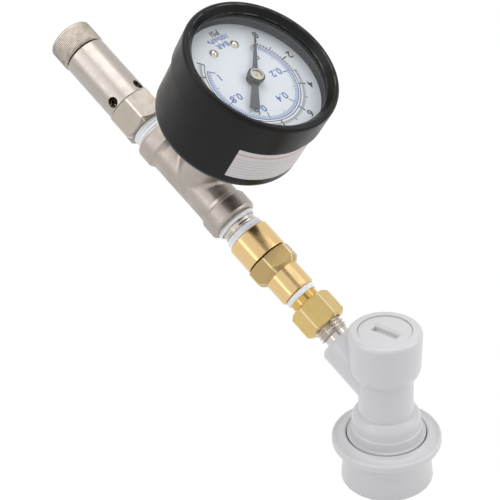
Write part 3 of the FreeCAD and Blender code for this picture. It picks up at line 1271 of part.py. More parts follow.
def back_plate():
    """Plate behind the gears."""
    return movement_plate(BACK_PLATE_Z, PILLAR_R / 2)


def front_plate():
    """Plate before the gears, with the long boss that shows through the dial."""
    shape = movement_plate(FRONT_PLATE_Z, PILLAR_R / 2)
    top = FRONT_PLATE_Z + PLATE_T
    boss = cylinder(FRONT_BOSS_R, top, FRONT_BOSS_TOP).cut(cylinder(ARBOR_R + RUNNING_GAP, top, FRONT_BOSS_TOP))
    return shape.fuse(boss)


def movement_pillars():
    """Three pillars that stand on the socket's flange and space the plates."""
    pillars = []
    spigot = PILLAR_R / 2
    for x, y in PILLARS:
        at = V(x, y, 0)
        column = cylinder(PILLAR_R, SOCKET_FLANGE_TOP, BACK_PLATE_Z, at)
        column = column.fuse(cylinder(spigot, BACK_PLATE_Z, BACK_PLATE_Z + PLATE_T, at))
        column = column.fuse(cylinder(PILLAR_R, BACK_PLATE_Z + PLATE_T, FRONT_PLATE_Z, at))
        column = column.fuse(cylinder(spigot, FRONT_PLATE_Z, FRONT_PLATE_Z + PLATE_T, at))
        pillars.append(column)
    return compound(pillars)


def plate_screws():
    """Three slotted screw heads on the front plate."""
    screws = []
    low = FRONT_PLATE_Z + PLATE_T
    for x, y in PILLARS:
        head = cylinder(PLATE_SCREW_R, low, low + PLATE_SCREW_T, V(x, y, 0))
        corner = V(x - PLATE_SCREW_R, y - SCREW_SLOT / 2, low + PLATE_SCREW_T - SCREW_SLOT)
        slot = Part.makeBox(2 * PLATE_SCREW_R, SCREW_SLOT, SCREW_SLOT, corner)
        screws.append(head.cut(slot))
    return compound(screws)


def hairspring():
    """Flat spiral that takes up the gears' play, from the pinion's collet to a pillar."""
    end_x, end_y = PILLARS[0]
    end_r = math.hypot(end_x, end_y) - PILLAR_R - HAIRSPRING_T / 2
    end_angle = math.degrees(math.atan2(end_y, end_x))
    steps = round(HAIRSPRING_TURNS * 12)
    sides = []
    for shift in (-HAIRSPRING_T / 2, HAIRSPRING_T / 2):
        points = []
        for index in range(steps + 1):
            share = index / steps
            radius = HAIRSPRING_IN + (end_r - HAIRSPRING_IN) * share + shift
            points.append(polar(radius, end_angle - 360 * HAIRSPRING_TURNS * (1 - share), HAIRSPRING_Z))
        curve = Part.BSplineCurve()
        curve.interpolate(points)
        sides.append(curve.toShape())
    inner, outer = sides
    ends = [Part.makeLine(inner.Vertexes[i].Point, outer.Vertexes[i].Point) for i in (0, 1)]
    face = Part.Face(Part.Wire(Part.__sortEdges__([inner, ends[1], outer, ends[0]])))
    return face.extrude(V(0, 0, HAIRSPRING_W))


UPRIGHT = {
    "disconnect_body": disconnect_body, "release_collar": release_collar, "collar_stop_ring": collar_stop_ring,
    "collar_spring": collar_spring, "disconnect_poppet": disconnect_poppet, "poppet_seal": poppet_seal,
    "poppet_spring": poppet_spring, "top_plug": top_plug, "plug_oring": plug_oring}
CHAIN = {
    "flare_stem": flare_stem, "flare_washer": flare_washer, "swivel_nut": swivel_nut, "flare_adapter": flare_adapter,
    "adapter_tape": adapter_tape, "check_valve_cap": check_valve_cap, "check_valve_body": check_valve_body,
    "check_poppet": check_poppet, "check_oring": check_oring, "check_spring": check_spring,
    "check_retainer": check_retainer, "pipe_nipple": pipe_nipple, "tee_body": tee_body, "relief_base": relief_base,
    "relief_barrel": relief_barrel, "relief_seat_disc": relief_seat_disc, "relief_poppet": relief_poppet,
    "relief_spring": relief_spring, "relief_spring_seat": relief_spring_seat, "relief_cap": relief_cap}
GAUGE = {
    "gauge_socket": gauge_socket, "gauge_tape": gauge_tape, "gauge_case": gauge_case, "case_screws": case_screws,
    "gauge_bezel": gauge_bezel, "gauge_lens": gauge_lens, "lens_gasket": lens_gasket, "gauge_dial": gauge_dial,
    "dial_posts": dial_posts, "dial_screws": dial_screws, "stop_pin": stop_pin, "pointer": pointer,
    "pointer_hub": pointer_hub, "hub_cap": hub_cap, "pinion": pinion, "sector_gear": sector_gear,
    "drive_link": drive_link, "bourdon_tube": bourdon_tube, "bourdon_tip": bourdon_tip, "back_plate": back_plate,
    "front_plate": front_plate, "movement_pillars": movement_pillars, "plate_screws": plate_screws,
    "hairspring": hairspring}

os.makedirs("parts", exist_ok=True)
for node, make in UPRIGHT.items():
    save(node, make())
for index in range(BALL_COUNT):
    save("locking_ball_" + str(index + 1), locking_ball(index))
for node, make in CHAIN.items():
    save(node, on_chain(make()))
save("nipple_tape_valve", on_chain(tape_ring(PIPE_R, CHECK_END, CHECK_END + VALVE_TAPE_L, PIPE_PITCH)))
save("nipple_tape_tee", on_chain(tape_ring(PIPE_R, TEE_START - TEE_TAPE_L, TEE_START, PIPE_PITCH)))
save("relief_tape", on_chain(tape_ring(PIPE_R, TEE_END, RELIEF_HEX_START, PIPE_PITCH)))
for node, make in GAUGE.items():
    save(node, on_gauge(make()))
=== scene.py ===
"""Spunding valve: the looks, lights and camera round the fixed frame of the part."""

import json
import logging
import math
from dataclasses import dataclass, field
from enum import Enum
from functools import cached_property
from typing import Any, Callable, Mapping, Optional, Sequence, Union

import bmesh
import bpy
from mathutils import Matrix, Vector, noise


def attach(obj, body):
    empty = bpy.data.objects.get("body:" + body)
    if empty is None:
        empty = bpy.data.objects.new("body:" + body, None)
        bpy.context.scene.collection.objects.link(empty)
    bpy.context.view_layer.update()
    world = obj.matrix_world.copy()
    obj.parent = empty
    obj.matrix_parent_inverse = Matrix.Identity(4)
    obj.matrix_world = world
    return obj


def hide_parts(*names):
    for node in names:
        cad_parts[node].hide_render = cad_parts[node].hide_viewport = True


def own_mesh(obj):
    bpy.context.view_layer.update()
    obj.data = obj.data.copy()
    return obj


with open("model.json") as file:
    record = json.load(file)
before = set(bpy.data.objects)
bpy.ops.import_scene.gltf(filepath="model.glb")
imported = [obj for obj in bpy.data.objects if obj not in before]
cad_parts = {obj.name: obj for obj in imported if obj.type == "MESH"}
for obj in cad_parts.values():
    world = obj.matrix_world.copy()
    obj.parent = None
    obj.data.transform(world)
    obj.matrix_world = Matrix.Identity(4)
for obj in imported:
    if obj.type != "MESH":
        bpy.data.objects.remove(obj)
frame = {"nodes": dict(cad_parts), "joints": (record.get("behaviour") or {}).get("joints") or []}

LOG = logging.getLogger("spunding_valve")
MM = 0.001
TURN = math.tau
# A corner this much inside a piece's outside, in millimetres, isn't cut or ribbed.
SLACK = 0.01
# Corners nearer than this are one corner, in millimetres on a blank and in metres on a node.
MERGE_MM = 1e-4
MERGE_M = 2e-6
Material = bpy.types.Material
Node = bpy.types.Node
Socket = bpy.types.NodeSocket
Point = tuple[float, float]
Colour = tuple[float, float, float]
# The size of a noise's largest spots in millimetres, its finer layers and their share.
Grain = tuple[float, float, float]
# Where a dial's mark begins and ends, counted outward from its scale's line, and its width.
Mark = tuple[float, float, float]
WHITE: Colour = (1.0, 1.0, 1.0)


def srgb(red: float, green: float, blue: float) -> Colour:
    """Turn a colour as it is seen into the linear numbers that a shader takes.

    Args:
        red: Its red part, 0 to 255.
        green: Its green part.
        blue: Its blue part.

    Returns:
        The three numbers, 0 to 1.
    """
    def linear(part: float) -> float:
        """Undo the display curve of one part."""
        share = part / 255.0
        return share / 12.92 if share <= 0.04045 else ((share + 0.055) / 1.055) ** 2.4
    return linear(red), linear(green), linear(blue)


def joint(name: str) -> Mapping[str, Any]:
    """Find one of the part's joints by its name."""
    return next(found for found in frame["joints"] if found["name"] == name)


def clamp(share: float) -> float:
    """Keep a share between 0 and 1."""
    return min(1.0, max(0.0, share))


def wave(angle: float) -> float:
    """A smooth wave, 0 at an angle of 0 and 1 half a turn on."""
    return 0.5 - 0.5 * math.cos(angle)


# Local frames


@dataclass(frozen=True)
class Place:
    """A local frame of the part: its origin and the directions of its own X and Z."""

    origin: Vector
    x: Vector
    z: Vector

    @property
    def y(self) -> Vector:
        """The third direction, which makes the frame right-handed."""
        return self.z.cross(self.x)

    def matrix(self) -> Matrix:
        """The change from this frame, in millimetres, to the part's frame, in metres."""
        turn = Matrix((self.x, self.y, self.z)).transposed().to_4x4()
        return Matrix.Translation(self.origin) @ turn @ Matrix.Scale(MM, 4)


# The frame of the disconnect, which is the part's own.
UPRIGHT = Place(Vector((0, 0, 0)), Vector((1, 0, 0)), Vector((0, 0, 1)))


def chain_place() -> Place:
    """Read the frame along the slanted chain of fittings from the nut's and the gauge's joints.

    Returns:
        The frame, with Z along the chain and X towards the dial.
    """
    along = Vector(joint("nut_spin")["axis"]).normalized()
    across = Vector(joint("sector_turn")["axis"]).normalized()
    at = Vector(joint("nut_spin")["pos_m"])
    return Place(at - along * (at.x / along.x), across, along)


def gauge_place() -> Place:
    """Read the frame of the gauge from the pointer's joint.

    Returns:
        The frame, from the chain's axis, with Z out of the dial and X up the dial.
    """
    chain = chain_place()
    at = Vector(joint("pointer_turn")["pos_m"])
    reach = (at - chain.origin).dot(chain.z)
    return Place(chain.origin + chain.z * reach, -chain.z, chain.x)


# Shader maths

Value = Union["Signal", float]


class Signal:
    """A number on its way through a material: Python's operators add the Math nodes."""

    def __init__(self, graph: "Graph", socket: Socket) -> None:
        """Keep the graph and the socket that gives the number."""
        self.graph = graph
        self.socket = socket

    def __add__(self, other: Value) -> "Signal":
        """Add."""
        return self.graph.maths("ADD", self, other)

    def __radd__(self, other: Value) -> "Signal":
        """Add, reflected."""
        return self.graph.maths("ADD", other, self)

    def __sub__(self, other: Value) -> "Signal":
        """Take away."""
        return self.graph.maths("SUBTRACT", self, other)

    def __rsub__(self, other: Value) -> "Signal":
        """Take away, reflected."""
        return self.graph.maths("SUBTRACT", other, self)

    def __mul__(self, other: Value) -> "Signal":
        """Multiply."""
        return self.graph.maths("MULTIPLY", self, other)

    def __rmul__(self, other: Value) -> "Signal":
        """Multiply, reflected."""
        return self.graph.maths("MULTIPLY", other, self)

    def __truediv__(self, other: Value) -> "Signal":
        """Divide."""
        return self.graph.maths("DIVIDE", self, other)

    def __rtruediv__(self, other: Value) -> "Signal":
        """Divide, reflected."""
        return self.graph.maths("DIVIDE", other, self)

    def wrapped(self) -> "Signal":
        """Keep the fractional part."""
        return self.graph.maths("FRACT", self)

    def size(self) -> "Signal":
        """Drop the sign."""
        return self.graph.maths("ABSOLUTE", self)

    def peaks(self) -> "Signal":
        """Rise in a straight line to 1 at each whole number, from 0 half-way between them."""
        return (self.wrapped() - 0.5).size() * 2.0


class Graph:
    """The node graph of one material or of the world."""

    def __init__(self, owner: Union[Material, bpy.types.World], place: Place = UPRIGHT) -> None:
        """Start an empty graph.

        Args:
            owner: The material or the world.
            place: The local frame that its distances are counted in.
        """
        self.owner = owner
        self.place = place
        owner.use_nodes = True
        self.tree = owner.node_tree
        self.tree.nodes.clear()

    @cached_property
    def object_space(self) -> Socket:
        """The place in the part's frame, in metres."""
        return self.node("ShaderNodeTexCoord", {}).outputs["Object"]

    def node(self, kind: str, inputs: Mapping[Any, Any], **settings: Any) -> Node:
        """Add one node.

        Args:
            kind: The node's type.
            inputs: Values or links for its sockets, by name or number. A colour is a tuple.
            settings: What is set on the node first, such as a Math node's operation.

        Returns:
            The new node.
        """
        made = self.tree.nodes.new(kind)
        for key, value in settings.items():
            setattr(made, key, value)
        for key, value in inputs.items():
            link = value.socket if isinstance(value, Signal) else value
            if isinstance(link, Socket):
                self.tree.links.new(link, made.inputs[key])
            else:
                made.inputs[key].default_value = (*link, 1.0) if isinstance(link, tuple) else link
        return made

    def maths(self, operation: str, *values: Value) -> Signal:
        """Add a Math node.

        Args:
            operation: The node's operation.
            values: Its inputs, in order.

        Returns:
            The result.
        """
        made = self.node("ShaderNodeMath", dict(enumerate(values)), operation=operation)
        return Signal(self, made.outputs[0])

    def vector(self, operation: str, *values: Any) -> Node:
        """Add a Vector Math node and return it."""
        return self.node("ShaderNodeVectorMath", dict(enumerate(values)), operation=operation)

    @cached_property
    def offset(self) -> Socket:
        """The way from the local frame's origin."""
        return self.vector("SUBTRACT", self.object_space, self.place.origin).outputs["Vector"]

    def along(self, direction: Vector) -> Signal:
        """Distance in millimetres from the local frame's origin along a unit direction."""
        return Signal(self, self.vector("DOT_PRODUCT", self.offset, direction).outputs["Value"]) / MM

    @cached_property
    def height(self) -> Signal:
        """Distance in millimetres along the local Z axis."""
        return self.along(self.place.z)

    @cached_property
    def radius(self) -> Signal:
        """Distance in millimetres from the local Z axis."""
        across = self.vector("CROSS_PRODUCT", self.offset, self.place.z).outputs["Vector"]
        return Signal(self, self.vector("LENGTH", across).outputs["Value"]) / MM

    @cached_property
    def turn(self) -> Signal:
        """Angle round the local Z axis in turns, from local X."""
        return self.maths("ARCTAN2", self.along(self.place.y), self.along(self.place.x)) / TURN

    def grain(self, size_mm: float, detail: float = 2.0, rough: float = 0.5) -> Signal:
        """Noise in the part's frame.

        Args:
            size_mm: Size of its largest spots.
            detail: Number of finer layers.
            rough: Share of the finer layers.

        Returns:
            Noise from 0 to 1.
        """
        made = self.node("ShaderNodeTexNoise", {
            "Vector": self.object_space, "Scale": 1.0 / (size_mm * MM), "Detail": detail,
            "Roughness": rough})
        return Signal(self, made.outputs[0])

    def rings(self, distance: Signal, size_mm: float, detail: float = 2.0) -> Signal:
        """Noise that changes along one distance only, as a tool's marks do.

        Args:
            distance: The distance in millimetres.
            size_mm: Width of the widest marks.
            detail: Number of finer layers.

        Returns:
            Noise from 0 to 1.
        """
        made = self.node("ShaderNodeTexNoise", {
            "W": distance, "Scale": 1.0 / size_mm, "Detail": detail, "Roughness": 0.6}, noise_dimensions="1D")
        return Signal(self, made.outputs[0])

    def specks(self, per_metre: float, size: Point) -> Signal:
        """Scattered dots.

        Args:
            per_metre: Number of dots along a metre.
            size: Share of their spacing up to which a dot is full, and at which it ends.

        Returns:
            1 in a dot and 0 between the dots.
        """
        cells = self.node("ShaderNodeTexVoronoi", {"Vector": self.object_space, "Scale": per_metre})
        return self.step(Signal(self, cells.outputs["Distance"]), *size, 1.0, 0.0)

    def step(self, value: Value, low: float, high: float, start: float = 0.0, end: float = 1.0) -> Signal:
        """Smooth change between two values.

        Args:
            value: What is measured.
            low: Where the change begins.
            high: Where it ends.
            start: Result below low.
            end: Result above high.

        Returns:
            The result.
        """
        made = self.node("ShaderNodeMapRange", {0: value, 1: low, 2: high, 3: start, 4: end},
                         interpolation_type="SMOOTHSTEP")
        return Signal(self, made.outputs[0])

    def window(self, value: Signal, rise: Point, fall: Point) -> Signal:
        """A stretch of a distance.

        Args:
            value: The distance.
            rise: Where the result goes from 0 to 1.
            fall: Where it goes back to 0.

        Returns:
            1 in the stretch and 0 outside it.
        """
        return self.step(value, *rise) * self.step(value, *fall, 1.0, 0.0)

    def band(self, value: Signal, middle: float, half: float) -> Signal:
        """A soft mark, 1 at the middle and 0 beyond half its width."""
        return self.step((value - middle).size(), 0.0, half, 1.0, 0.0)

    def mix(self, share: Value, first: Any, second: Any) -> Socket:
        """Mix two colours.

        Args:
            share: Share of the second.
            first: A colour or a colour socket.
            second: A colour or a colour socket.

        Returns:
            The mixed colour's socket.
        """
        return self.node("ShaderNodeMix", {0: share, 6: first, 7: second}, data_type="RGBA").outputs[2]

    def bump(self, height: Signal, depth_mm: float) -> Socket:
        """Relief from a height signal.

        Args:
            height: Height from 0 to 1.
            depth_mm: What a height of 1 stands for.

        Returns:
            The normal's socket.
        """
        return self.node("ShaderNodeBump", {"Distance": depth_mm * MM, "Height": height}).outputs[0]

    def seen(self) -> Signal:
        """Tell what the camera sees from light on its way to the part.

        Returns:
            1 for what the camera sees, also mirrored or through glass, and 0 for the rest.
        """
        rays = self.node("ShaderNodeLightPath", {})
        camera, glossy, through = (Signal(self, rays.outputs[kind]) for kind in (
            "Is Camera Ray", "Is Glossy Ray", "Is Transmission Ray"))
        return self.maths("MAXIMUM", camera, self.maths("MAXIMUM", glossy, through))

    def glow(self, kind: str, colour: Colour, strength: float) -> Node:
        """Add an Emission or a Background shader and return it."""
        return self.node(kind, {"Color": colour, "Strength": strength})

    def blend(self, share: Value, first: Node, second: Node) -> Node:
        """Mix two shaders by the share of the second and return the mix."""
        return self.node("ShaderNodeMixShader", {0: share, 1: first.outputs[0], 2: second.outputs[0]})

    def close(self, shader: Node, kind: str = "ShaderNodeOutputMaterial") -> Any:
        """Join a shader to the output.

        Args:
            shader: The shader.
            kind: The output's type.

        Returns:
            The finished material or world.
        """
        self.node(kind, {"Surface": shader.outputs[0]})
        return self.owner


# Finishes


@dataclass(frozen=True)
class Finish:
    """A painted or moulded finish with a little mottling and grain."""

    name: str
    colour: Colour
    roughness: float = 0.4
    metallic: float = 0.0
    mottle: float = 0.04
    coat: float = 0.0
    coat_roughness: float = 0.15
    specular: float = 0.5
    cloud: Grain = (9.0, 3.0, 0.5)
    skin: Grain = (0.25, 2.0, 0.5)
    skin_depth: float = 0.004
    dull_from: Point = (0.3, 0.7)
    dull_to: Point = (0.9, 1.1)
    place: Place = UPRIGHT

    def material(self) -> Material:
        """Build the material."""
        graph = Graph(bpy.data.materials.new(self.name), self.place)
        return graph.close(graph.node("ShaderNodeBsdfPrincipled", self.sockets(graph)))

    def sockets(self, graph: Graph) -> dict[str, Any]:
        """Fill the main shader's sockets.

        Args:
            graph: The material's graph.

        Returns:
            A value or a link for each socket, by its name.
        """
        cloud = graph.grain(*self.cloud)
        return {
            "Base Color": self.tint(graph, cloud), "Roughness": self.dull(graph, cloud),
            "Metallic": self.metallic, "Coat Weight": self.coat, "Coat Roughness": self.coat_roughness,
            "Specular IOR Level": self.specular,
            "Normal": graph.bump(graph.grain(*self.skin), self.skin_depth)}

    def tint(self, graph: Graph, share: Value) -> Socket:
        """Mottle the colour a little round its own value.

        Args:
            graph: The material's graph.
            share: How light it is, 0 to 1.

        Returns:
            The colour's socket.
        """
        darker = tuple(part * (1.0 - self.mottle) for part in self.colour)
        lighter = tuple(min(1.0, part * (1.0 + self.mottle)) for part in self.colour)
        return graph.mix(share, darker, lighter)

    def dull(self, graph: Graph, cloud: Signal) -> Signal:
        """Cloud the roughness between two shares of its own value."""
        return graph.step(cloud, *self.dull_from, *(self.roughness * share for share in self.dull_to))


@dataclass(frozen=True)
class MouldedPlastic(Finish):
    """Satin moulded plastic with a soft skin, a few dust specks and faint flow clouds."""

    coat_roughness: float = 0.06
    cloud: Grain = (14.0, 4.0, 0.5)
    skin: Grain = (1.8, 1.0, 0.5)
    skin_depth: float = 0.0004
    shine: Grain = (3.0, 3.0, 0.5)
    shinier: float = 0.04
    duller: float = 0.05
    speck: Colour = (0.25, 0.24, 0.23)
    speck_share: float = 0.2
    specks_per_metre: float = 64.0
    speck_size: Point = (0.012, 0.03)

    def sockets(self, graph: Graph) -> dict[str, Any]:
        """Fill the main shader's sockets.

        Args:
            graph: The material's graph.

        Returns:
            A value or a link for each socket, by its name.
        """
        fleck = graph.specks(self.specks_per_metre, self.speck_size)
        tint = self.tint(graph, graph.grain(*self.cloud))
        return {
            "Base Color": graph.mix(fleck * self.speck_share, tint, self.speck),
            "Roughness": graph.step(graph.grain(*self.shine), *self.dull_from,
                                    self.roughness - self.shinier, self.roughness + self.duller),
            "Specular IOR Level": self.specular,
            "Coat Weight": self.coat, "Coat Roughness": self.coat_roughness,
            "Normal": graph.bump(graph.grain(*self.skin), self.skin_depth)}


@dataclass(frozen=True)
class TurnedMetal(Finish):
    """Metal turned on a lathe: fine rings round an axis, with wear that clouds the shine."""

    cloud: Grain = (4.0, 5.0, 0.6)
    dull_from: Point = (0.35, 0.75)
    dull_to: Point = (0.85, 1.25)
    marks_mm: float = 0.35
    marks_detail: float = 3.0
    marks_depth: float = 0.004
    marks_dull: float = 0.08
    face_marks: float = 0.9
    tarnish: Colour = (0.3, 0.25, 0.15)
    tarnish_share: float = 0.15
    tarnish_from: Point = (0.45, 0.85)
    flats: Point = (0.0, 0.0)
    # Colour of a hexagon's flats: their drawn finish, darkened as a painted reflection of dark surroundings.
    flat_colour: Colour = (0.3, 0.25, 0.15)
    flat_share: Point = (0.75, 0.4)
    flat_edge: float = 0.02
    flat_dull: float = 0.12
    scratch_mm: float = 0.2
    scratch_lean: float = 0.7
    corner_degrees: float = 0.0
    # The colour of a hexagon's corners: rubbed wear and a painted edge highlight.
    corner: Colour = srgb(252, 236, 190)
    corner_share: float = 0.7
    corner_reach: Point = (0.89, 0.975)

    def wear(self, graph: Graph) -> Signal:
        """Show where the corners of a hexagon are rubbed bright and painted as a bright edge highlight."""
        nearness = (graph.turn * 6.0 - self.corner_degrees / 60.0).peaks()
        return graph.step(nearness, *self.corner_reach)

    def tarnished(self, graph: Graph, cloud: Signal, share: Signal) -> Socket:
        """Tarnish the mottled colour where the cloud is thick."""
        thick = graph.step(cloud, *self.tarnish_from, 0.0, self.tarnish_share)
        return graph.mix(thick, self.tint(graph, share), self.tarnish)

    def side(self, graph: Graph) -> Signal:
        """A distance across the axis, slanted so that it changes on each flat of a hexagon."""
        return graph.along(self.place.x) + graph.along(self.place.y) * self.scratch_lean

    def sockets(self, graph: Graph) -> dict[str, Any]:
        """Fill the main shader's sockets.

        Args:
            graph: The material's graph.

        Returns:
            A value or a link for each socket, by its name.
        """
        marks = graph.rings(graph.height + graph.radius * self.face_marks, self.marks_mm, self.marks_detail)
        cloud = graph.grain(*self.cloud)
        colour = self.tarnished(graph, cloud, marks)
        dull = self.dull(graph, cloud)
        # The hexagon's flats are painted darker with scratch lines: partly their drawn finish, partly a
        # painted dark reflection.
        if self.flats[1] > self.flats[0]:
            rise, fall = ((end - self.flat_edge, end + self.flat_edge) for end in self.flats)
            hexagon = graph.window(graph.height, rise, fall)
            least, more = self.flat_share
            shade = hexagon * (least + graph.rings(self.side(graph), self.scratch_mm) * more)
            colour = graph.mix(shade, colour, self.flat_colour)
            # The hexagon's corners are painted bright, as wear and as a painted edge highlight.
            colour = graph.mix(hexagon * self.wear(graph) * self.corner_share, colour, self.corner)
            dull = dull + hexagon * self.flat_dull
        return {
            "Base Color": colour, "Metallic": 1.0,
            "Roughness": dull + (marks - 0.5) * self.marks_dull,
            "Normal": graph.bump(marks, self.marks_depth)}


@dataclass(frozen=True)
class KnurledMetal(TurnedMetal):
    """Turned metal with a straight knurl, with painted shade darkening its grooves."""

    cloud: Grain = (3.0, 4.0, 0.6)
    tarnish_from: Point = (0.4, 0.75)
    teeth: int = 84
    knurl_rise: Point = (0.0, 0.3)
    knurl_fall: Point = (0.9, 1.4)
    knurl_dull: float = 0.08
    # Painted shade in the knurl's grooves.
    groove: Colour = (0.12, 0.10, 0.08)
    groove_from: Point = (0.3, 0.7)
    groove_share: Point = (0.45, 0.95)

    def sockets(self, graph: Graph) -> dict[str, Any]:
        """Fill the main shader's sockets.

        Args:
            graph: The material's graph.

        Returns:
            A value or a link for each socket, by its name.
        """
        sunk = 1.0 - (graph.turn * self.teeth).peaks()
        side = graph.window(graph.height, self.knurl_rise, self.knurl_fall)
        cloud = graph.grain(*self.cloud)
        # worn clouds how strongly the knurl's grooves are darkened with painted shade.
        worn = graph.step(cloud, *self.groove_from, *self.groove_share)
        marks = graph.rings(graph.height, self.marks_mm, self.marks_detail)
        return {
            "Base Color": graph.mix(sunk * side * worn, self.tarnished(graph, cloud, cloud), self.groove),
            "Metallic": 1.0, "Roughness": self.roughness + side * self.knurl_dull,
            "Normal": graph.bump(marks, self.marks_depth)}


@dataclass(frozen=True)
class MilledMetal(TurnedMetal):
    """Hexagon stock left as drawn: satin flats with fine scratches, a bloom of tarnish and worn corners,
    painted bright as worn metal and as an edge highlight.
    """

    cloud: Grain = (2.2, 5.0, 0.65)
    dull_from: Point = (0.3, 0.75)
    dull_to: Point = (0.9, 1.2)
    tarnish_from: Point = (0.4, 0.8)
    scratch_mm: float = 0.16
    scratch_dull: float = 0.1
    scratch_relief: float = 0.6
    waver: Grain = (6.0, 2.0, 0.5)
    waver_mm: float = 0.6
    corner_shine: float = 0.08

    def sockets(self, graph: Graph) -> dict[str, Any]:
        """Fill the main shader's sockets.

        Args:
            graph: The material's graph.

        Returns:
            A value or a link for each socket, by its name.
        """
        scratch = graph.rings(self.side(graph) + graph.grain(*self.waver) * self.waver_mm, self.scratch_mm)
        cloud = graph.grain(*self.cloud)
        colour = self.tarnished(graph, cloud, scratch)
        # worn marks the corners, painted bright as worn metal and as a painted edge highlight.
        worn = self.wear(graph)
        dull = self.dull(graph, cloud) + (scratch - 0.5) * self.scratch_dull
        relief = scratch * self.scratch_relief + cloud * (1.0 - self.scratch_relief)
        return {
            "Base Color": graph.mix(worn * self.corner_share, colour, self.corner), "Metallic": 1.0,
            "Roughness": dull - worn * self.corner_shine,
            "Normal": graph.bump(relief, self.marks_depth)}


@dataclass(frozen=True)
class CastMetal(Finish):
    """Cast metal tumbled smooth, with a rippled skin, pits and a warm bloom."""

    cloud: Grain = (7.0, 4.0, 0.5)
    skin: Grain = (0.35, 3.0, 0.6)
    skin_depth: float = 0.09
    skin_share: float = 0.15
    dull_to: Point = (0.85, 1.2)
    ripple: Grain = (2.6, 3.0, 0.55)
    ripple_share: float = 0.75
    bloom: Colour = (0.42, 0.38, 0.34)
    pit: Colour = (0.12, 0.11, 0.10)
    pit_share: float = 0.35
    pit_sink: float = 0.2
    pits_per_metre: float = 420.0
    pit_size: Point = (0.0, 0.16)

    def sockets(self, graph: Graph) -> dict[str, Any]:
        """Fill the main shader's sockets.

        Args:
            graph: The material's graph.

        Returns:
            A value or a link for each socket, by its name.
        """
        cloud = graph.grain(*self.cloud)
        pit = graph.specks(self.pits_per_metre, self.pit_size)
        skin = graph.grain(*self.ripple) * self.ripple_share + graph.grain(*self.skin) * self.skin_share
        bloomed = graph.mix(cloud, self.colour, self.bloom)
        return {
            "Base Color": graph.mix(pit * self.pit_share, bloomed, self.pit), "Metallic": 1.0,
            "Roughness": self.dull(graph, cloud),
            "Normal": graph.bump(skin - pit * self.pit_sink, self.skin_depth)}


@dataclass(frozen=True)
class SealingTape(Finish):
    """White thread tape, with fibres along its winding and places that are a little greyer."""

    cloud: Grain = (2.6, 3.0, 0.5)
    thin_from: Point = (0.35, 0.75)
    thin: float = 0.93
    fibre_mm: float = 0.6
    fibre_relief: float = 0.7
    cloud_relief: float = 0.3
    lead: float = 1.4
    waver: Grain = (2.5, 2.0, 0.5)
    waver_mm: float = 0.25
    shinier: float = 0.08
    duller: float = 0.1
    skin_depth: float = 0.005

    def sockets(self, graph: Graph) -> dict[str, Any]:
        """Fill the main shader's sockets.

        Args:
            graph: The material's graph.

        Returns:
            A value or a link for each socket, by its name.
        """
        distance = graph.height + graph.turn * self.lead + graph.grain(*self.waver) * self.waver_mm
        fibre = graph.rings(distance, self.fibre_mm)
        cloud = graph.grain(*self.cloud)
        thin = tuple(part * self.thin for part in self.colour)
        return {
            "Base Color": graph.mix(graph.step(cloud, *self.thin_from), self.colour, thin),
            "Roughness": graph.step(fibre, *self.dull_from,
                                    self.roughness - self.shinier, self.roughness + self.duller),
            "Specular IOR Level": self.specular,
            "Normal": graph.bump(fibre * self.fibre_relief + cloud * self.cloud_relief, self.skin_depth)}


@dataclass(frozen=True)
class BlackEnamel(Finish):
    """Satin black enamel over steel, rubbed through in thin lines along the rim's edges."""

    cloud: Grain = (12.0, 3.0, 0.5)
    skin: Grain = (0.45, 2.0, 0.5)
    skin_depth: float = 0.006
    shine: Grain = (6.0, 3.0, 0.5)
    dull_to: Point = (0.85, 1.15)
    bare: Colour = (0.24, 0.21, 0.17)
    bare_metallic: float = 0.8
    rub: Grain = (3.0, 5.0, 0.7)
    rub_from: Point = (0.74, 0.8)
    rub_share: float = 0.3
    worn_edges: tuple[Point, ...] = ()
    worn_mm: float = 0.32
    patch: Grain = (5.0, 4.0, 0.6)
    patch_from: Point = (0.42, 0.62)
    patch_share: float = 0.6
    worn_share: float = 0.15

    def sockets(self, graph: Graph) -> dict[str, Any]:
        """Fill the main shader's sockets.

        Args:
            graph: The material's graph.

        Returns:
            A value or a link for each socket, by its name.
        """
        patches = graph.step(graph.grain(*self.patch), *self.patch_from)
        worn = graph.step(graph.grain(*self.rub), *self.rub_from, 0.0, self.rub_share)
        for radius, height in self.worn_edges:
            near = graph.band(graph.radius, radius, self.worn_mm)
            near = near * graph.band(graph.height, height, self.worn_mm)
            worn = worn + near * (patches * self.patch_share + self.worn_share)
        worn = graph.step(worn, 0.0, 1.0)
        return {
            "Base Color": graph.mix(worn, self.tint(graph, graph.grain(*self.cloud)), self.bare),
            "Metallic": worn * self.bare_metallic,
            "Roughness": self.dull(graph, graph.grain(*self.shine)),
            "Specular IOR Level": self.specular,
            "Normal": graph.bump(graph.grain(*self.skin), self.skin_depth)}


@dataclass(frozen=True)
class CappedHub(Finish):
    """Black hub whose top is bare metal inside a ring."""

    cloud: Grain = (2.0, 2.0, 0.5)
    cap: Colour = srgb(205, 200, 186)
    cap_r: float = 2.35
    cap_metallic: float = 0.3
    top: float = 56.9
    edge: float = 0.05

    def sockets(self, graph: Graph) -> dict[str, Any]:
        """Fill the main shader's sockets.

        Args:
            graph: The material's graph.

        Returns:
            A value or a link for each socket, by its name.
        """
        inside = graph.step(graph.radius, self.cap_r - self.edge, self.cap_r + self.edge, 1.0, 0.0)
        above = graph.step(graph.height, self.top - self.edge, self.top)
        return {
            "Base Color": graph.mix(inside * above, self.tint(graph, graph.grain(*self.cloud)), self.cap),
            "Roughness": self.roughness, "Metallic": inside * above * self.cap_metallic}


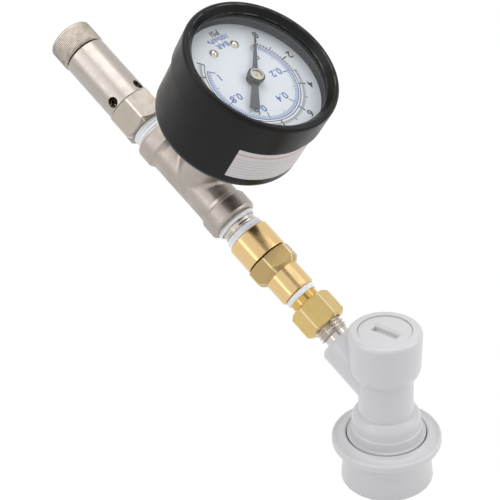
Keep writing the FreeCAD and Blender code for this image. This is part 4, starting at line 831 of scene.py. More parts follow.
@dataclass(frozen=True)
class ClearLens(Finish):
    """Clear lens, faint but for its shine."""

    cloud: Grain = (8.0, 4.0, 0.5)
    skin: Grain = (20.0, 1.0, 0.5)
    skin_depth: float = 0.02
    alpha: float = 0.1
    alpha_from: Point = (0.2, 0.8)
    alpha_to: Point = (0.9, 1.1)
    smear_from: Point = (0.3, 0.8)
    smear_to: Point = (0.02, 0.08)

    def sockets(self, graph: Graph) -> dict[str, Any]:
        """Fill the main shader's sockets.

        Args:
            graph: The material's graph.

        Returns:
            A value or a link for each socket, by its name.
        """
        smear = graph.grain(*self.cloud)
        alphas = (self.alpha * share for share in self.alpha_to)
        return {
            "Base Color": self.colour, "Roughness": graph.step(smear, *self.smear_from, *self.smear_to),
            "Alpha": graph.step(smear, *self.alpha_from, *alphas),
            "Normal": graph.bump(graph.grain(*self.skin), self.skin_depth)}


@dataclass(frozen=True)
class RuledPaper(Finish):
    """A bare paper sticker with a printed frame line and plain rules, and nothing written on it."""

    cloud: Grain = (0.8, 4.0, 0.5)
    dull_to: Point = (0.5, 0.62)
    top: float = 48.2
    heading: Colour = (0.55, 0.10, 0.06)
    heading_drop: float = 2.0
    heading_half: float = 0.45
    heading_share: float = 0.75
    line: Colour = (0.30, 0.30, 0.32)
    line_half: float = 0.14
    line_share: float = 0.7
    rule_gap: float = 1.35
    rules: int = 7
    rules_drop: float = 1.6
    edge: float = 0.01

    def sockets(self, graph: Graph) -> dict[str, Any]:
        """Fill the main shader's sockets.

        Args:
            graph: The material's graph.

        Returns:
            A value or a link for each socket, by its name.
        """
        fibres = graph.grain(*self.cloud)
        first = self.top - self.heading_drop
        heading = graph.band(graph.height, first, self.heading_half) * self.heading_share
        colour = graph.mix(heading, self.tint(graph, fibres), self.heading)
        high = first - self.rules_drop
        low = high - self.rules * self.rule_gap
        rules = graph.band(((graph.height - low) / self.rule_gap).wrapped(), 0.5, self.line_half)
        inside = graph.window(graph.height, (low, low + self.edge), (high, high + self.edge))
        return {
            "Base Color": graph.mix(rules * inside * self.line_share, colour, self.line),
            "Roughness": graph.step(fibres, *self.dull_from, *self.dull_to),
            "Normal": graph.bump(fibres, self.skin_depth)}


class Ink(Enum):
    """Printing inks of the dial."""

    BLACK = srgb(40, 40, 48)
    BLUE = srgb(82, 112, 178)
    GREY = srgb(168, 174, 182)


# New pieces


class Blank:
    """Stock for one new piece, in a local frame and in millimetres."""

    def __init__(self, name: str, place: Place) -> None:
        """Start with no stock.

        Args:
            name: The piece's name.
            place: The local frame that it is made in.
        """
        self.name = name
        self.place = place
        self.mesh = bmesh.new()

    def lathe(self, outline: Sequence[Point], steps: int) -> None:
        """Turn a closed outline into a solid.

        Args:
            outline: Radius and height of each corner, in order.
            steps: Number of facets round the piece.
        """
        corners = [self.mesh.verts.new((radius, 0.0, height)) for radius, height in outline]
        edges = [self.mesh.edges.new(pair) for pair in zip(corners, corners[1:] + corners[:1])]
        bmesh.ops.spin(self.mesh, geom=corners + edges, cent=(0, 0, 0), axis=(0, 0, 1), angle=TURN,
                       steps=steps, use_merge=True)
        bmesh.ops.remove_doubles(self.mesh, verts=self.mesh.verts, dist=MERGE_MM)
        bmesh.ops.recalc_face_normals(self.mesh, faces=self.mesh.faces)

    def sweep(self, first: Point, second: Point, start: float, angle: float, steps: int,
              depth: float) -> None:
        """Sweep a line part of a turn about local Z and give it a thickness.

        Args:
            first: Radius and height of one end of the line.
            second: Radius and height of the other end.
            start: Where the sweep begins, in degrees.
            angle: How far it goes, in degrees.
            steps: Number of facets.
            depth: Thickness, inward or down where it is negative.
        """
        part = bmesh.new()
        ends = [part.verts.new((radius, 0.0, height)) for radius, height in (first, second)]
        edge = part.edges.new(ends)
        turn = Matrix.Rotation(math.radians(start), 4, "Z")
        bmesh.ops.rotate(part, cent=(0, 0, 0), matrix=turn.to_3x3(), verts=ends)
        bmesh.ops.spin(part, geom=ends + [edge], cent=(0, 0, 0), axis=(0, 0, 1), angle=math.radians(angle),
                       steps=steps)
        bmesh.ops.solidify(part, geom=part.faces[:], thickness=depth)
        bmesh.ops.recalc_face_normals(part, faces=part.faces)
        holder = bpy.data.meshes.new(self.name + "_part")
        part.to_mesh(holder)
        part.free()
        self.mesh.from_mesh(holder)
        bpy.data.meshes.remove(holder)

    def push(self, radius_at: Callable[[float, float, float], float]) -> None:
        """Move each corner in or out.

        Args:
            radius_at: Gives the new radius from the old radius, the angle and the height.
        """
        for corner in self.mesh.verts:
            radius = math.hypot(corner.co.x, corner.co.y)
            if radius > 1e-6:
                angle = math.atan2(corner.co.y, corner.co.x)
                share = radius_at(radius, angle, corner.co.z) / radius
                corner.co.x *= share
                corner.co.y *= share

    def finish(self, body: str, material: Material, slot: str, replaces: Sequence[str],
               crease: float) -> None:
        """Make the stock a piece of the object.

        Args:
            body: The body that it rides on.
            material: Its material.
            slot: The record's material slot; not used.
            replaces: The nodes that it stands for.
            crease: Edges sharper than this many degrees stay sharp.
        """
        data = bpy.data.meshes.new(self.name)
        self.mesh.transform(self.place.matrix())
        self.mesh.to_mesh(data)
        self.mesh.free()
        keep_piece(self.name, data, body, material, replaces, crease)


def keep_piece(name: str, data: bpy.types.Mesh, body: str, material: Material,
               replaces: Sequence[str], crease: float) -> bpy.types.Object:
    """Link a finished mesh as a piece that rides on a body.

    Args:
        name: The piece's name.
        data: Its mesh, in the part's frame.
        body: The body that it rides on.
        material: Its material.
        replaces: The nodes that it stands for.
        crease: Edges sharper than this many degrees stay sharp.

    Returns:
        The new object.
    """
    data.shade_smooth()
    data.set_sharp_from_angle(angle=math.radians(crease))
    data.materials.append(material)
    piece = bpy.data.objects.new(name, data)
    bpy.context.scene.collection.objects.link(piece)
    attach(piece, body)
    if replaces:
        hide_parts(*replaces)
    LOG.info("made %s, %d faces, on %s", name, len(data.polygons), body)
    return piece


def soften(node: str, width_mm: float, body: str, material: Material,
           below: Optional[Callable[[Vector], bool]] = None, sharper_than: float = 28.0,
           flatter_than: float = 0.6, crease: float = 50.0) -> None:
    """Stand in for a node with a copy whose sharp edges are slightly rounded.

    Args:
        node: The node.
        width_mm: Width of the rounding.
        body: The body that it rides on.
        material: Its material.
        below: Whether an edge's middle is in the part that is rounded.
        sharper_than: Edges that turn by more degrees than this are rounded.
        flatter_than: Edges that turn by fewer degrees than this are taken out first.
        crease: Edges of the result sharper than this many degrees stay sharp.
    """
    mesh = bmesh.new()
    mesh.from_mesh(frame["nodes"][node].data)
    bmesh.ops.remove_doubles(mesh, verts=mesh.verts, dist=MERGE_M)
    bmesh.ops.dissolve_limit(mesh, angle_limit=math.radians(flatter_than), verts=mesh.verts,
                             edges=mesh.edges)
    sharp = [edge for edge in mesh.edges
             if len(edge.link_faces) == 2 and edge.calc_face_angle(0.0) > math.radians(sharper_than)
             and (below is None or below((edge.verts[0].co + edge.verts[1].co) / 2))]
    bmesh.ops.bevel(mesh, geom=sharp, offset=width_mm * MM, offset_type="OFFSET", affect="EDGES", segments=2,
                    profile=0.5, material=-1, clamp_overlap=True)
    bmesh.ops.recalc_face_normals(mesh, faces=mesh.faces)
    data = bpy.data.meshes.new(node + "_softened")
    mesh.to_mesh(data)
    mesh.free()
    piece = keep_piece(node + "_softened", data, body, material, [node], crease)
    piece.modifiers.new("flat_faces", "WEIGHTED_NORMAL").keep_sharp = True


def dress(material: Material, *nodes: str) -> None:
    """Give some of the part's own nodes a material.

    Args:
        material: The material.
        nodes: The nodes' names.
    """
    for name in nodes:
        data = frame["nodes"][name].data
        data.materials.clear()
        data.materials.append(material)
        LOG.info("dressed %s in %s", name, material.name)


def thread_share(angle: float, height: float, pitch: float) -> float:
    """Follow a right-hand thread.

    Args:
        angle: The angle round the axis, in radians.
        height: The height.
        pitch: The thread's pitch.

    Returns:
        How far the thread stands out, 0 at its root and 1 at its crest.
    """
    phase = (height / pitch - angle / TURN) % 1.0
    root, slope = 0.12, 0.76
    return clamp((abs(2.0 * phase - 1.0) - root) / slope)


def rows(start: float, end: float, gap: float) -> list[float]:
    """Evenly spaced heights from start to end."""
    count = max(1, round((end - start) / gap))
    return [start + (end - start) * index / count for index in range(count + 1)]


# The disconnect


@dataclass
class Disconnect:
    """The moulded disconnect with its collar, plug and poppet."""

    shell: Finish = MouldedPlastic("grey_shell", srgb(214, 213, 214), roughness=0.34, mottle=0.008, coat=0.3)
    plug: Finish = MouldedPlastic("plug_plastic", srgb(216, 215, 215), roughness=0.36, mottle=0.008)

    def build(self) -> None:
        """Dress the disconnect's nodes."""
        dress(self.shell.material(), "disconnect_body", "release_collar", "collar_stop_ring")
        dress(self.plug.material(), "top_plug", "disconnect_poppet")


@dataclass
class Springs:
    """Wire springs, steel balls and the small bright steel parts."""

    wire: Finish = Finish("spring_wire", srgb(186, 184, 180), roughness=0.22, metallic=1.0, mottle=0.06)
    ball: Finish = Finish("ball_steel", srgb(200, 198, 194), roughness=0.12, metallic=1.0, mottle=0.03)
    driven_by: tuple[tuple[str, str], ...] = (
        ("collar_spring", "collar_lift"), ("poppet_spring", "inlet_lift"),
        ("check_spring", "check_lift"), ("relief_spring", "relief_lift"))

    def build(self) -> None:
        """Copy the springs, and dress the balls and the screws' heads."""
        wire = self.wire.material()
        for node, slide in self.driven_by:
            self.coil(node, slide, wire)
        dress(wire, "plate_screws")
        dress(self.ball.material(), "locking_ball_1", "locking_ball_2", "locking_ball_3")

    def coil(self, node: str, slide: str, wire: Material) -> None:
        """Stand in for a spring with a copy of its mesh.

        Args:
            node: The spring's node.
            slide: The joint that presses it.
            wire: Its material.
        """
        moved = joint(slide)
        axis = Vector(moved["axis"]).normalized()
        travel = max(moved["range_m"])
        data = frame["nodes"][node].data.copy()
        reach = [corner.co.dot(axis) for corner in data.vertices]
        length = max(reach) - min(reach)
        data.materials.clear()
        piece = keep_piece(node + "_coil", data, "frame", wire, [node], 60.0)
        1.0 - travel / length
        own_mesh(piece)


@dataclass
class Rubber:
    """Seal rings, the seat disc, the lens gasket and the nylon washer."""

    black: Finish = Finish("seal_rubber", srgb(38, 38, 39), roughness=0.62, skin_depth=0.01)
    nylon: Finish = Finish("nylon", srgb(226, 222, 208), roughness=0.45)

    def build(self) -> None:
        """Dress the seals and the washer."""
        dress(self.black.material(), "poppet_seal", "plug_oring", "check_oring", "relief_seat_disc",
              "lens_gasket")
        dress(self.nylon.material(), "flare_washer")


# The chain of fittings


@dataclass
class WoundTape:
    """Thread tape wound round a thread, ribbed by it and slightly ragged."""

    name: str
    core: float
    start: float
    end: float
    pitch: float = 1.411
    thin: float = 0.14
    thick: float = 0.42
    least: float = 0.04
    row_gap: float = 0.11
    crest_power: float = 0.8
    root_share: float = 0.25
    wrinkle_mm: float = 0.05
    wrinkles_round: float = 2.2
    wrinkles_along: float = 1.3
    edge_mm: float = 0.12
    edge_share: float = 0.55
    steps: int = 128

    def build(self, material: Material, place: Place) -> None:
        """Make the tape.

        Args:
            material: Its material.
            place: The frame of its axis.
        """
        blank = Blank(self.name + "_wound", place)
        outside = self.core + self.thick
        outline = [(outside, height) for height in rows(self.start, self.end, self.row_gap)]
        blank.lathe(outline + [(self.core, self.end), (self.core, self.start)], self.steps)
        blank.push(self.radius_at)
        blank.finish("frame", material, "ptfe", [self.name], 55.0)

    def radius_at(self, radius: float, angle: float, height: float) -> float:
        """Rib the outside with the thread and wrinkle it.

        Args:
            radius: The corner's radius in the blank.
            angle: Its angle round the axis, in radians.
            height: Its height.

        Returns:
            Its new radius.
        """
        if radius < self.core + SLACK:
            return radius
        rib = wave(TURN * ((height / self.pitch - angle / TURN) % 1.0)) ** self.crest_power
        spot = Vector((math.cos(angle) * self.wrinkles_round, math.sin(angle) * self.wrinkles_round,
                       height * self.wrinkles_along))
        edge = min(1.0, (height - self.start) / self.edge_mm, (self.end - height) / self.edge_mm)
        full = self.root_share + (1.0 - self.root_share) * rib
        lift = self.thin + (self.thick - self.thin) * full + noise.noise(spot) * self.wrinkle_mm
        return self.core + max(self.least, lift * (self.edge_share + (1.0 - self.edge_share) * edge))


@dataclass
class SwivelJoint:
    """Stainless flare stem, swivel nut and the adapter behind it."""

    place: Place
    socket_r: float = 4.5
    socket_start: float = 9.0
    arm_end: float = 23.6
    neck_end: float = 25.6
    neck_rows: float = 0.4
    crest_r: float = 5.556
    root_r: float = 4.72
    pitch: float = 1.27
    run_in: float = 0.5
    thread_rows: float = 0.1
    nose_start: float = 35.4
    nose_r: float = 5.2
    nose_tip_r: float = 3.1
    nose_end: float = 37.5
    port_r: float = 2.4
    steps: int = 96

    def build(self, tape: Material) -> None:
        """Build the joint.

        Args:
            tape: The tape's material.
        """
        polished = TurnedMetal("stem_stainless", srgb(205, 198, 190), roughness=0.16, place=self.place,
                               marks_depth=0.003)
        # The nut's corners carry a painted edge highlight.
        nut = MilledMetal("nut_brass", srgb(213, 186, 122), roughness=0.3, place=self.place,
                          marks_depth=0.006, tarnish=srgb(186, 156, 96), tarnish_share=0.35,
                          corner_degrees=-5.0)
        golden = TurnedMetal("adapter_brass", srgb(212, 172, 98), roughness=0.14, place=self.place,
                             marks_depth=0.003)
        self.stem(polished.material())
        soften("swivel_nut", 0.22, "nut", nut.material())
        dress(golden.material(), "flare_adapter")
        WoundTape("adapter_tape", 5.14, 42.8, 44.9, pitch=0.941, thick=0.75).build(tape, self.place)

    def stem(self, material: Material) -> None:
        """Turn the stem and cut its thread.

        Args:
            material: Its material.
        """
        blank = Blank("flare_stem_threaded", self.place)
        step = 0.1
        neck = rows(self.arm_end + step, self.neck_end - step, self.neck_rows)
        thread = rows(self.neck_end, self.nose_start - step, self.thread_rows)
        outline = [(self.socket_r, height) for height in (self.socket_start, self.arm_end, *neck)]
        outline += [(self.crest_r, height) for height in thread]
        outline += [(self.nose_r, self.nose_start), (self.nose_tip_r, self.nose_end),
                    (self.port_r, self.nose_end), (self.port_r, self.socket_start)]
        blank.lathe(outline, self.steps)
        blank.push(self.radius_at)
        blank.finish("frame", material, "stainless", ["flare_stem"], 60.0)

    def radius_at(self, radius: float, angle: float, height: float) -> float:
        """Cut the thread, which runs out before the neck.

        Args:
            radius: The corner's radius in the blank.
            angle: Its angle round the axis, in radians.
            height: Its height.

        Returns:
            Its new radius.
        """
        if radius < self.crest_r - SLACK or height < self.neck_end - SLACK:
            return radius
        crest = self.socket_r + (self.crest_r - self.socket_r) * clamp((height - self.neck_end) / self.run_in)
        cut = self.root_r + (self.crest_r - self.root_r) * thread_share(angle, height, self.pitch)
        return min(crest, cut)


@dataclass
class CheckValve:
    """Brass check valve: two turned ends, a hexagon and the poppet inside."""

    place: Place
    seam: float = 61.3
    hexagon: Point = (54.0, 61.6)

    def before_seam(self, point: Vector) -> bool:
        """Whether a point lies on the body's side of the seam with the cap."""
        return (point - self.place.origin).dot(self.place.z) / MM < self.seam

    def build(self) -> None:
        """Dress the valve and soften its edges."""
        # The hexagon's flats are painted darker as a painted reflection of dark surroundings, and its corners
        # carry a painted edge highlight.
        turned = TurnedMetal("turned_brass", srgb(224, 193, 140), roughness=0.2, place=self.place,
                             marks_depth=0.0012, tarnish=srgb(204, 170, 118), tarnish_share=0.15,
                             flats=self.hexagon, flat_colour=srgb(180, 156, 106), corner_degrees=12.0)
        inner = TurnedMetal("inner_brass", srgb(200, 164, 100), roughness=0.25, place=self.place)
        material = turned.material()
        dress(material, "check_valve_cap")
        soften("check_valve_body", 0.16, "frame", material, below=self.before_seam)
        dress(inner.material(), "check_poppet", "check_retainer", "relief_poppet", "relief_spring_seat")


@dataclass
class TeeGroup:
    place: Place
    core: float = 6.86
    bore: float = 3.4
    start: float = 65.8
    end: float = 85.2
    row_gap: float = 0.12
    root: float = 6.15
    pitch: float = 1.411
    band_start: float = 74.7
    band_end: float = 77.4
    band_r: float = 6.75
    band_fade: float = 0.3
    ridge_gap: float = 1.35
    ridge_depth: float = 0.35
    steps: int = 112

    def build(self, tape: Material, gauge: Place) -> None:
        """Build the group.

        Args:
            tape: The tape's material.
            gauge: The gauge's frame, which the branch follows.
        """
        cast = CastMetal("cast_stainless", srgb(186, 180, 173), roughness=0.38, bloom=srgb(164, 154, 145))
        dress(cast.material(), "tee_body")
        self.nipple(TurnedMetal("nipple_stainless", srgb(200, 194, 186), roughness=0.2, place=self.place,
                                marks_depth=0.003).material())
        WoundTape("nipple_tape_valve", self.core, 72.0, 74.6, thick=0.6).build(tape, self.place)
        WoundTape("nipple_tape_tee", self.core, 77.4, 79.0, thick=0.7).build(tape, self.place)
        WoundTape("relief_tape", self.core, 122.0, 126.2, thick=0.55, thin=0.05).build(tape, self.place)
        WoundTape("gauge_tape", self.core, 21.5, 23.0).build(tape, gauge)

    def nipple(self, material: Material) -> None:
        """Turn the nipple, with a thread at each end and a ridged band between.

        Args:
            material: Its material.
        """
        blank = Blank("pipe_nipple_threaded", self.place)
        outline = [(self.core, height) for height in rows(self.start, self.end, self.row_gap)]
        outline += [(self.bore, self.end), (self.bore, self.start)]
        blank.lathe(outline, self.steps)
        blank.push(self.radius_at)
        blank.finish("frame", material, "stainless", ["pipe_nipple"], 60.0)

    def radius_at(self, radius: float, angle: float, height: float) -> float:
        """Cut both threads and leave the band.

        Args:
            radius: The corner's radius in the blank.
            angle: Its angle round the axis, in radians.
            height: Its height.

        Returns:
            Its new radius.
        """
        if radius < self.core - SLACK:
            return radius
        fade = clamp(min(height - self.band_start, self.band_end - height) / self.band_fade)
        cut = self.root + (self.core - self.root) * thread_share(angle, height, self.pitch)
        ridge = wave(TURN * (height - self.band_start) / self.ridge_gap)
        return cut + (self.band_r - self.ridge_depth * (1.0 - ridge) - cut) * fade


@dataclass
class ReliefValve:
    """Adjustable relief valve: hexagon base, barrel with vents and the knurled cap."""

    place: Place
    spindle_r: float = 6.04
    spindle_start: float = 157.02
    cap_start: float = 163.9
    cap_bevel: Point = (0.35, 0.3)
    knurl_r: float = 8.5
    knurl_depth: float = 0.2
    knurl_end: float = 171.8
    knurl_fade: Point = (0.5, 0.7)
    row_gap: float = 0.8
    crown_end: float = 173.2
    crown_r: float = 6.6
    teeth: int = 84

    def build(self) -> None:
        """Build the valve."""
        satin = TurnedMetal("satin_nickel", srgb(180, 173, 166), roughness=0.33, place=self.place,
                            marks_depth=0.003, tarnish=srgb(172, 164, 156), tarnish_share=0.3)
        # The base's corners carry a painted edge highlight.
        flats = MilledMetal("nickel_flats", srgb(172, 164, 154), roughness=0.42, place=self.place,
                            marks_depth=0.005, tarnish=srgb(150, 140, 128), tarnish_share=0.35,
                            corner_degrees=20.0, corner=srgb(232, 226, 216))
        # The cap's knurl grooves are darkened with painted shade.
        knurled = KnurledMetal("knurled_nickel", srgb(192, 183, 172), roughness=0.3, place=self.place,
                               marks_depth=0.003, tarnish=srgb(160, 146, 132), tarnish_share=0.5,
                               teeth=self.teeth, knurl_rise=(self.cap_start, self.cap_start + 0.3),
                               knurl_fall=(self.knurl_end - 0.1, self.knurl_end + 0.4))
        soften("relief_base", 0.2, "frame", flats.material())
        soften("relief_barrel", 0.14, "frame", satin.material())
        self.cap(knurled.material())

    def cap(self, material: Material) -> None:
        """Turn the cap and knurl it.

        Args:
            material: Its material.
        """
        blank = Blank("relief_cap_knurled", self.place)
        inset, lift = self.cap_bevel
        side = rows(self.cap_start + lift, self.knurl_end, self.row_gap)
        outline = [(0.0, self.spindle_start), (self.spindle_r, self.spindle_start),
                   (self.spindle_r, self.cap_start), (self.knurl_r - inset, self.cap_start)]
        outline += [(self.knurl_r, height) for height in side]
        run = self.knurl_r - self.crown_r
        rise = self.crown_end - self.knurl_end
        for angle in map(math.radians, range(10, 91, 10)):
            outline.append((self.crown_r + run * math.cos(angle), self.knurl_end + rise * math.sin(angle)))
        outline += [(self.crown_r * 0.5, self.crown_end), (0.0, self.crown_end)]
        blank.lathe(outline, self.teeth * 4)
        blank.push(self.radius_at)
        blank.finish("adjuster", material, "nickel", ["relief_cap"], 70.0)

    def radius_at(self, radius: float, angle: float, height: float) -> float:
        """Cut the straight knurl, which fades into the crown.

        Args:
            radius: The corner's radius in the blank.
            angle: Its angle round the axis, in radians.
            height: Its height.

        Returns:
            Its new radius.
        """
        if radius < self.spindle_r + 0.1 or height < self.cap_start + 0.1:
            return radius
        beyond, length = self.knurl_fade
        fade = clamp((self.knurl_end + beyond - height) / length)
        return radius - self.knurl_depth * wave(angle * self.teeth) * fade


# The gauge


@dataclass
class DialPrint:
    """Everything printed on the dial, two scales and their units."""

    place: Place
    face: float = 53.7
    film: float = 0.03
    scale_r: float = 17.0
    line: float = 0.28
    psi_start: float = 133.5
    psi_degrees: float = 18.0
    psi_top: int = 15
    psi_parts: int = 5
    fine_psi: int = 3
    psi_numeral_r: float = 21.4
    psi_numeral: float = 2.7
    psi_unit: tuple[str, Point, float] = ("PSI", (-21.4, 1.5), 2.1)
    psi_long: Mark = (0.0, 2.6, 0.5)
    psi_outer: Mark = (1.6, 2.6, 0.3)
    psi_middle: Mark = (0.0, 1.9, 0.3)
    psi_fine: Mark = (0.0, 0.95, 0.28)
    grey_lines: tuple[Point, ...] = ((1.25, 0.85), (1.95, 0.12))
    bar_start: float = 133.5
    bar_degrees: float = 261.0
    bar_parts: int = 100
    bar_gap: float = 0.8
    bar_line: float = 0.3
    bar_long: Mark = (-3.0, 0.0, 0.4)
    bar_middle: Mark = (-2.2, 0.0, 0.24)
    bar_fine: Mark = (-1.35, 0.0, 0.27)
    bar_words: tuple[tuple[str, Point, float], ...] = (
        ("0", (-7.3, 8.7), 2.6), ("0.2", (0.9, 10.4), 2.6), ("0.4", (9.6, 4.6), 2.6),
        ("0.6", (10.3, -6.7), 2.6), ("0.8", (2.8, -11.2), 2.6), ("1", (-6.2, -10.5), 2.6),
        ("100xkPa", (-18.9, 1.0), 1.8), ("BAR", (-16.2, 0.8), 2.0))
    capital: float = 0.7
    bold: float = 0.032
    spacing: float = 1.08
    arc_steps: int = 120
    blank: Blank = field(init=False)

    def build(self) -> None:
        """Print both scales, each ink as a piece of its own."""
        drawn = {Ink.BLACK: self.black_scale, Ink.GREY: self.grey_band, Ink.BLUE: self.blue_scale}
        for ink, draw in drawn.items():
            name = ink.name.lower()
            self.blank = Blank("dial_print_" + name, self.place)
            draw()
            finish = Finish("dial_ink_" + name, ink.value, roughness=0.55, mottle=0.1)
            self.blank.finish("frame", finish.material(), "dial_white", (), 30.0)

    def stamp(self, text: str, at: Point, height: float) -> None:
        """Add plain lettering that stands upright on the dial.

        Args:
            text: What it says.
            at: Its middle in the gauge's frame.
            height: The height of its figures.
        """
        curve = bpy.data.curves.new("lettering", "FONT")
        curve.body = text
        curve.size = height / self.capital
        curve.align_x = "CENTER"
        curve.align_y = "CENTER"
        curve.extrude = self.film / 2
        curve.offset = height * self.bold
        curve.space_character = self.spacing
        holder = bpy.data.objects.new("lettering", curve)
        bpy.context.scene.collection.objects.link(holder)
        found = bpy.context.evaluated_depsgraph_get()
        data = bpy.data.meshes.new_from_object(holder.evaluated_get(found))
        upright = ((0, 1, 0, at[0]), (-1, 0, 0, at[1]), (0, 0, 1, self.face + self.film / 2), (0, 0, 0, 1))
        data.transform(Matrix(upright))
        self.blank.mesh.from_mesh(data)
        bpy.data.objects.remove(holder)
        bpy.data.curves.remove(curve)
        bpy.data.meshes.remove(data)

    def tick(self, degrees: float, radius: float, mark: Mark) -> None:
        """Add one mark across a scale.

        Args:
            degrees: Its place round the dial.
            radius: The radius of the scale's line.
            mark: Its ends and its width.
        """
        angle = math.radians(degrees)
        inner, outer = radius + mark[0], radius + mark[1]
        middle = (inner + outer) / 2
        at = Vector((middle * math.cos(angle), middle * math.sin(angle), self.face + self.film / 2))
        stretch = Matrix.Diagonal((outer - inner, mark[2], self.film, 1.0))
        place = Matrix.Translation(at) @ Matrix.Rotation(angle, 4, "Z") @ stretch
        bmesh.ops.create_cube(self.blank.mesh, size=1.0, matrix=place)

    def arc(self, radius: float, width: float, start: float, sweep: float) -> None:
        """Add a thin line round the dial.

        Args:
            radius: Its middle radius.
            width: Its width.
            start: Where it begins, in degrees.
            sweep: How far it goes, in degrees.
        """
        inner, outer = ((radius + side * width / 2, self.face + self.film) for side in (-1, 1))
        self.blank.sweep(inner, outer, start, sweep, self.arc_steps, self.film)

    def psi_mark(self, index: int) -> Optional[Mark]:
        """Choose a mark of the outer scale, which has fine ones only at its start.

        Args:
            index: The mark's number from the scale's start.

        Returns:
            The mark, if there is one.
        """
        whole = index % self.psi_parts == 0
        fine = self.fine_psi * self.psi_parts
        if index % (2 * self.psi_parts) == 0 or index == self.psi_top * self.psi_parts:
            return self.psi_long
        if whole:
            return self.psi_outer if index > fine else self.psi_middle
        return self.psi_fine if index < fine else None

    def black_scale(self) -> None:
        """Print the outer scale."""
        sweep = self.psi_degrees * self.psi_top
        for index in range(self.psi_top * self.psi_parts + 1):
            mark = self.psi_mark(index)
            if mark:
                degrees = self.psi_start - index * self.psi_degrees / self.psi_parts
                self.tick(degrees, self.scale_r, mark)
        self.arc(self.scale_r, self.line, self.psi_start - sweep, sweep)
        reach = self.psi_numeral_r
        for value in range(0, self.psi_top, 2):
            angle = math.radians(self.psi_start - value * self.psi_degrees)
            self.stamp(str(value), (reach * math.cos(angle), reach * math.sin(angle)), self.psi_numeral)
        self.stamp(*self.psi_unit)

    def grey_band(self) -> None:
        """Print the grey double line outside the outer scale."""
        end = self.psi_start - self.psi_degrees * self.psi_top
        reach = self.psi_degrees * (self.psi_top - self.fine_psi)
        for out, width in self.grey_lines:
            self.arc(self.scale_r + out, width, end, reach)

    def blue_scale(self) -> None:
        """Print the inner scale."""
        outer = self.scale_r - self.bar_gap
        for index in range(self.bar_parts + 1):
            mark = self.bar_fine if index % 10 else self.bar_middle if index % 20 else self.bar_long
            self.tick(self.bar_start - index * self.bar_degrees / self.bar_parts, outer, mark)
        self.arc(outer, self.bar_line, self.bar_start - self.bar_degrees, self.bar_degrees)
        for word in self.bar_words:
            self.stamp(*word)


@dataclass
class Gauge:
    """Dial gauge: case, bezel, lens, dial, pointer and the movement behind it."""

    place: Place
    case_r: float = 26.3
    label_low: float = 35.0
    label_high: float = 48.2
    label_start: float = -50.0
    label_sweep: float = 68.0
    label_steps: int = 48
    label_proud: float = 0.01
    label_thick: float = 0.06
    worn_edges: tuple[Point, ...] = ((25.6, 62.2), (23.8, 59.9), (27.35, 50.5))

    def build(self) -> None:
        """Build the gauge from its case inward."""
        enamel = BlackEnamel("black_enamel", srgb(15, 14, 14), roughness=0.32, place=self.place,
                             specular=0.2, worn_edges=self.worn_edges)
        lens = ClearLens("clear_lens", srgb(240, 244, 248), alpha=0.05)
        dial = Finish("dial_enamel", srgb(229, 234, 239), roughness=0.4, mottle=0.01, skin_depth=0.002)
        brass = TurnedMetal("gauge_brass", srgb(206, 178, 118), roughness=0.28, place=self.place)
        bronze = Finish("bronze", srgb(176, 132, 88), roughness=0.3, metallic=1.0)
        screw = TurnedMetal("screw_nickel", srgb(214, 206, 194), roughness=0.16, place=self.place,
                            marks_depth=0.002)
        pointer = Finish("pointer_paint", srgb(62, 64, 68), roughness=0.38)
        hub = CappedHub("hub_black", srgb(30, 30, 34), roughness=0.3, place=self.place)
        cap = Finish("hub_cap_metal", hub.cap, roughness=0.38, metallic=0.3)
        dress(enamel.material(), "gauge_case", "gauge_bezel")
        dress(lens.material(), "gauge_lens")
        dress(dial.material(), "gauge_dial")
        dress(brass.material(), "gauge_socket", "dial_posts", "pinion", "sector_gear", "drive_link",
              "bourdon_tip", "back_plate", "front_plate", "movement_pillars")
        dress(bronze.material(), "bourdon_tube", "hairspring")
        dress(screw.material(), "case_screws", "dial_screws", "stop_pin")
        dress(pointer.material(), "pointer")
        dress(hub.material(), "pointer_hub")
        dress(cap.material(), "hub_cap")
        DialPrint(self.place).build()
        self.label()

    def label(self) -> None:
        """Lay the bare sticker on the case's side."""
        blank = Blank("case_label", self.place)
        paper = RuledPaper("ruled_paper", srgb(214, 208, 208), place=self.place, mottle=0.02,
                           top=self.label_high)
        radius = self.case_r + self.label_proud
        blank.sweep((radius, self.label_low), (radius, self.label_high), self.label_start, self.label_sweep,
                    self.label_steps, self.label_thick)
        blank.finish("frame", paper.material(), "ptfe", (), 40.0)


# The studio


@dataclass(frozen=True)
class Softbox:
    """One soft lamp, aimed at the part."""

    name: str
    at: Vector
    width: float
    height: float
    glow: float
    tint: Colour = WHITE

    def build(self, aim: Vector) -> None:
        """Hang the lamp.

        Args:
            aim: The point that it faces.
        """
        data = bpy.data.lights.new(self.name, "AREA")
        data.shape = "RECTANGLE"
        data.size = self.width
        data.size_y = self.height
        data.energy = self.glow * math.pi * self.width * self.height
        data.color = self.tint
        lamp = bpy.data.objects.new(self.name, data)
        lamp.location = self.at
        lamp.rotation_mode = "QUATERNION"
        lamp.rotation_quaternion = (aim - self.at).to_track_quat("-Z", "Y")
        bpy.context.scene.collection.objects.link(lamp)


def flat_piece(name: str, place: Matrix, material: Material) -> bpy.types.Object:
    """Lay a flat square of side 1 in a place of the studio.

    Args:
        name: Its name.
        place: What moves and stretches it.
        material: Its material.

    Returns:
        The new object.
    """
    mesh = bmesh.new()
    bmesh.ops.create_grid(mesh, x_segments=2, y_segments=2, size=0.5)
    mesh.transform(place)
    data = bpy.data.meshes.new(name)
    mesh.to_mesh(data)
    mesh.free()
    data.materials.append(material)
    made = bpy.data.objects.new(name, data)
    bpy.context.scene.collection.objects.link(made)
    return made


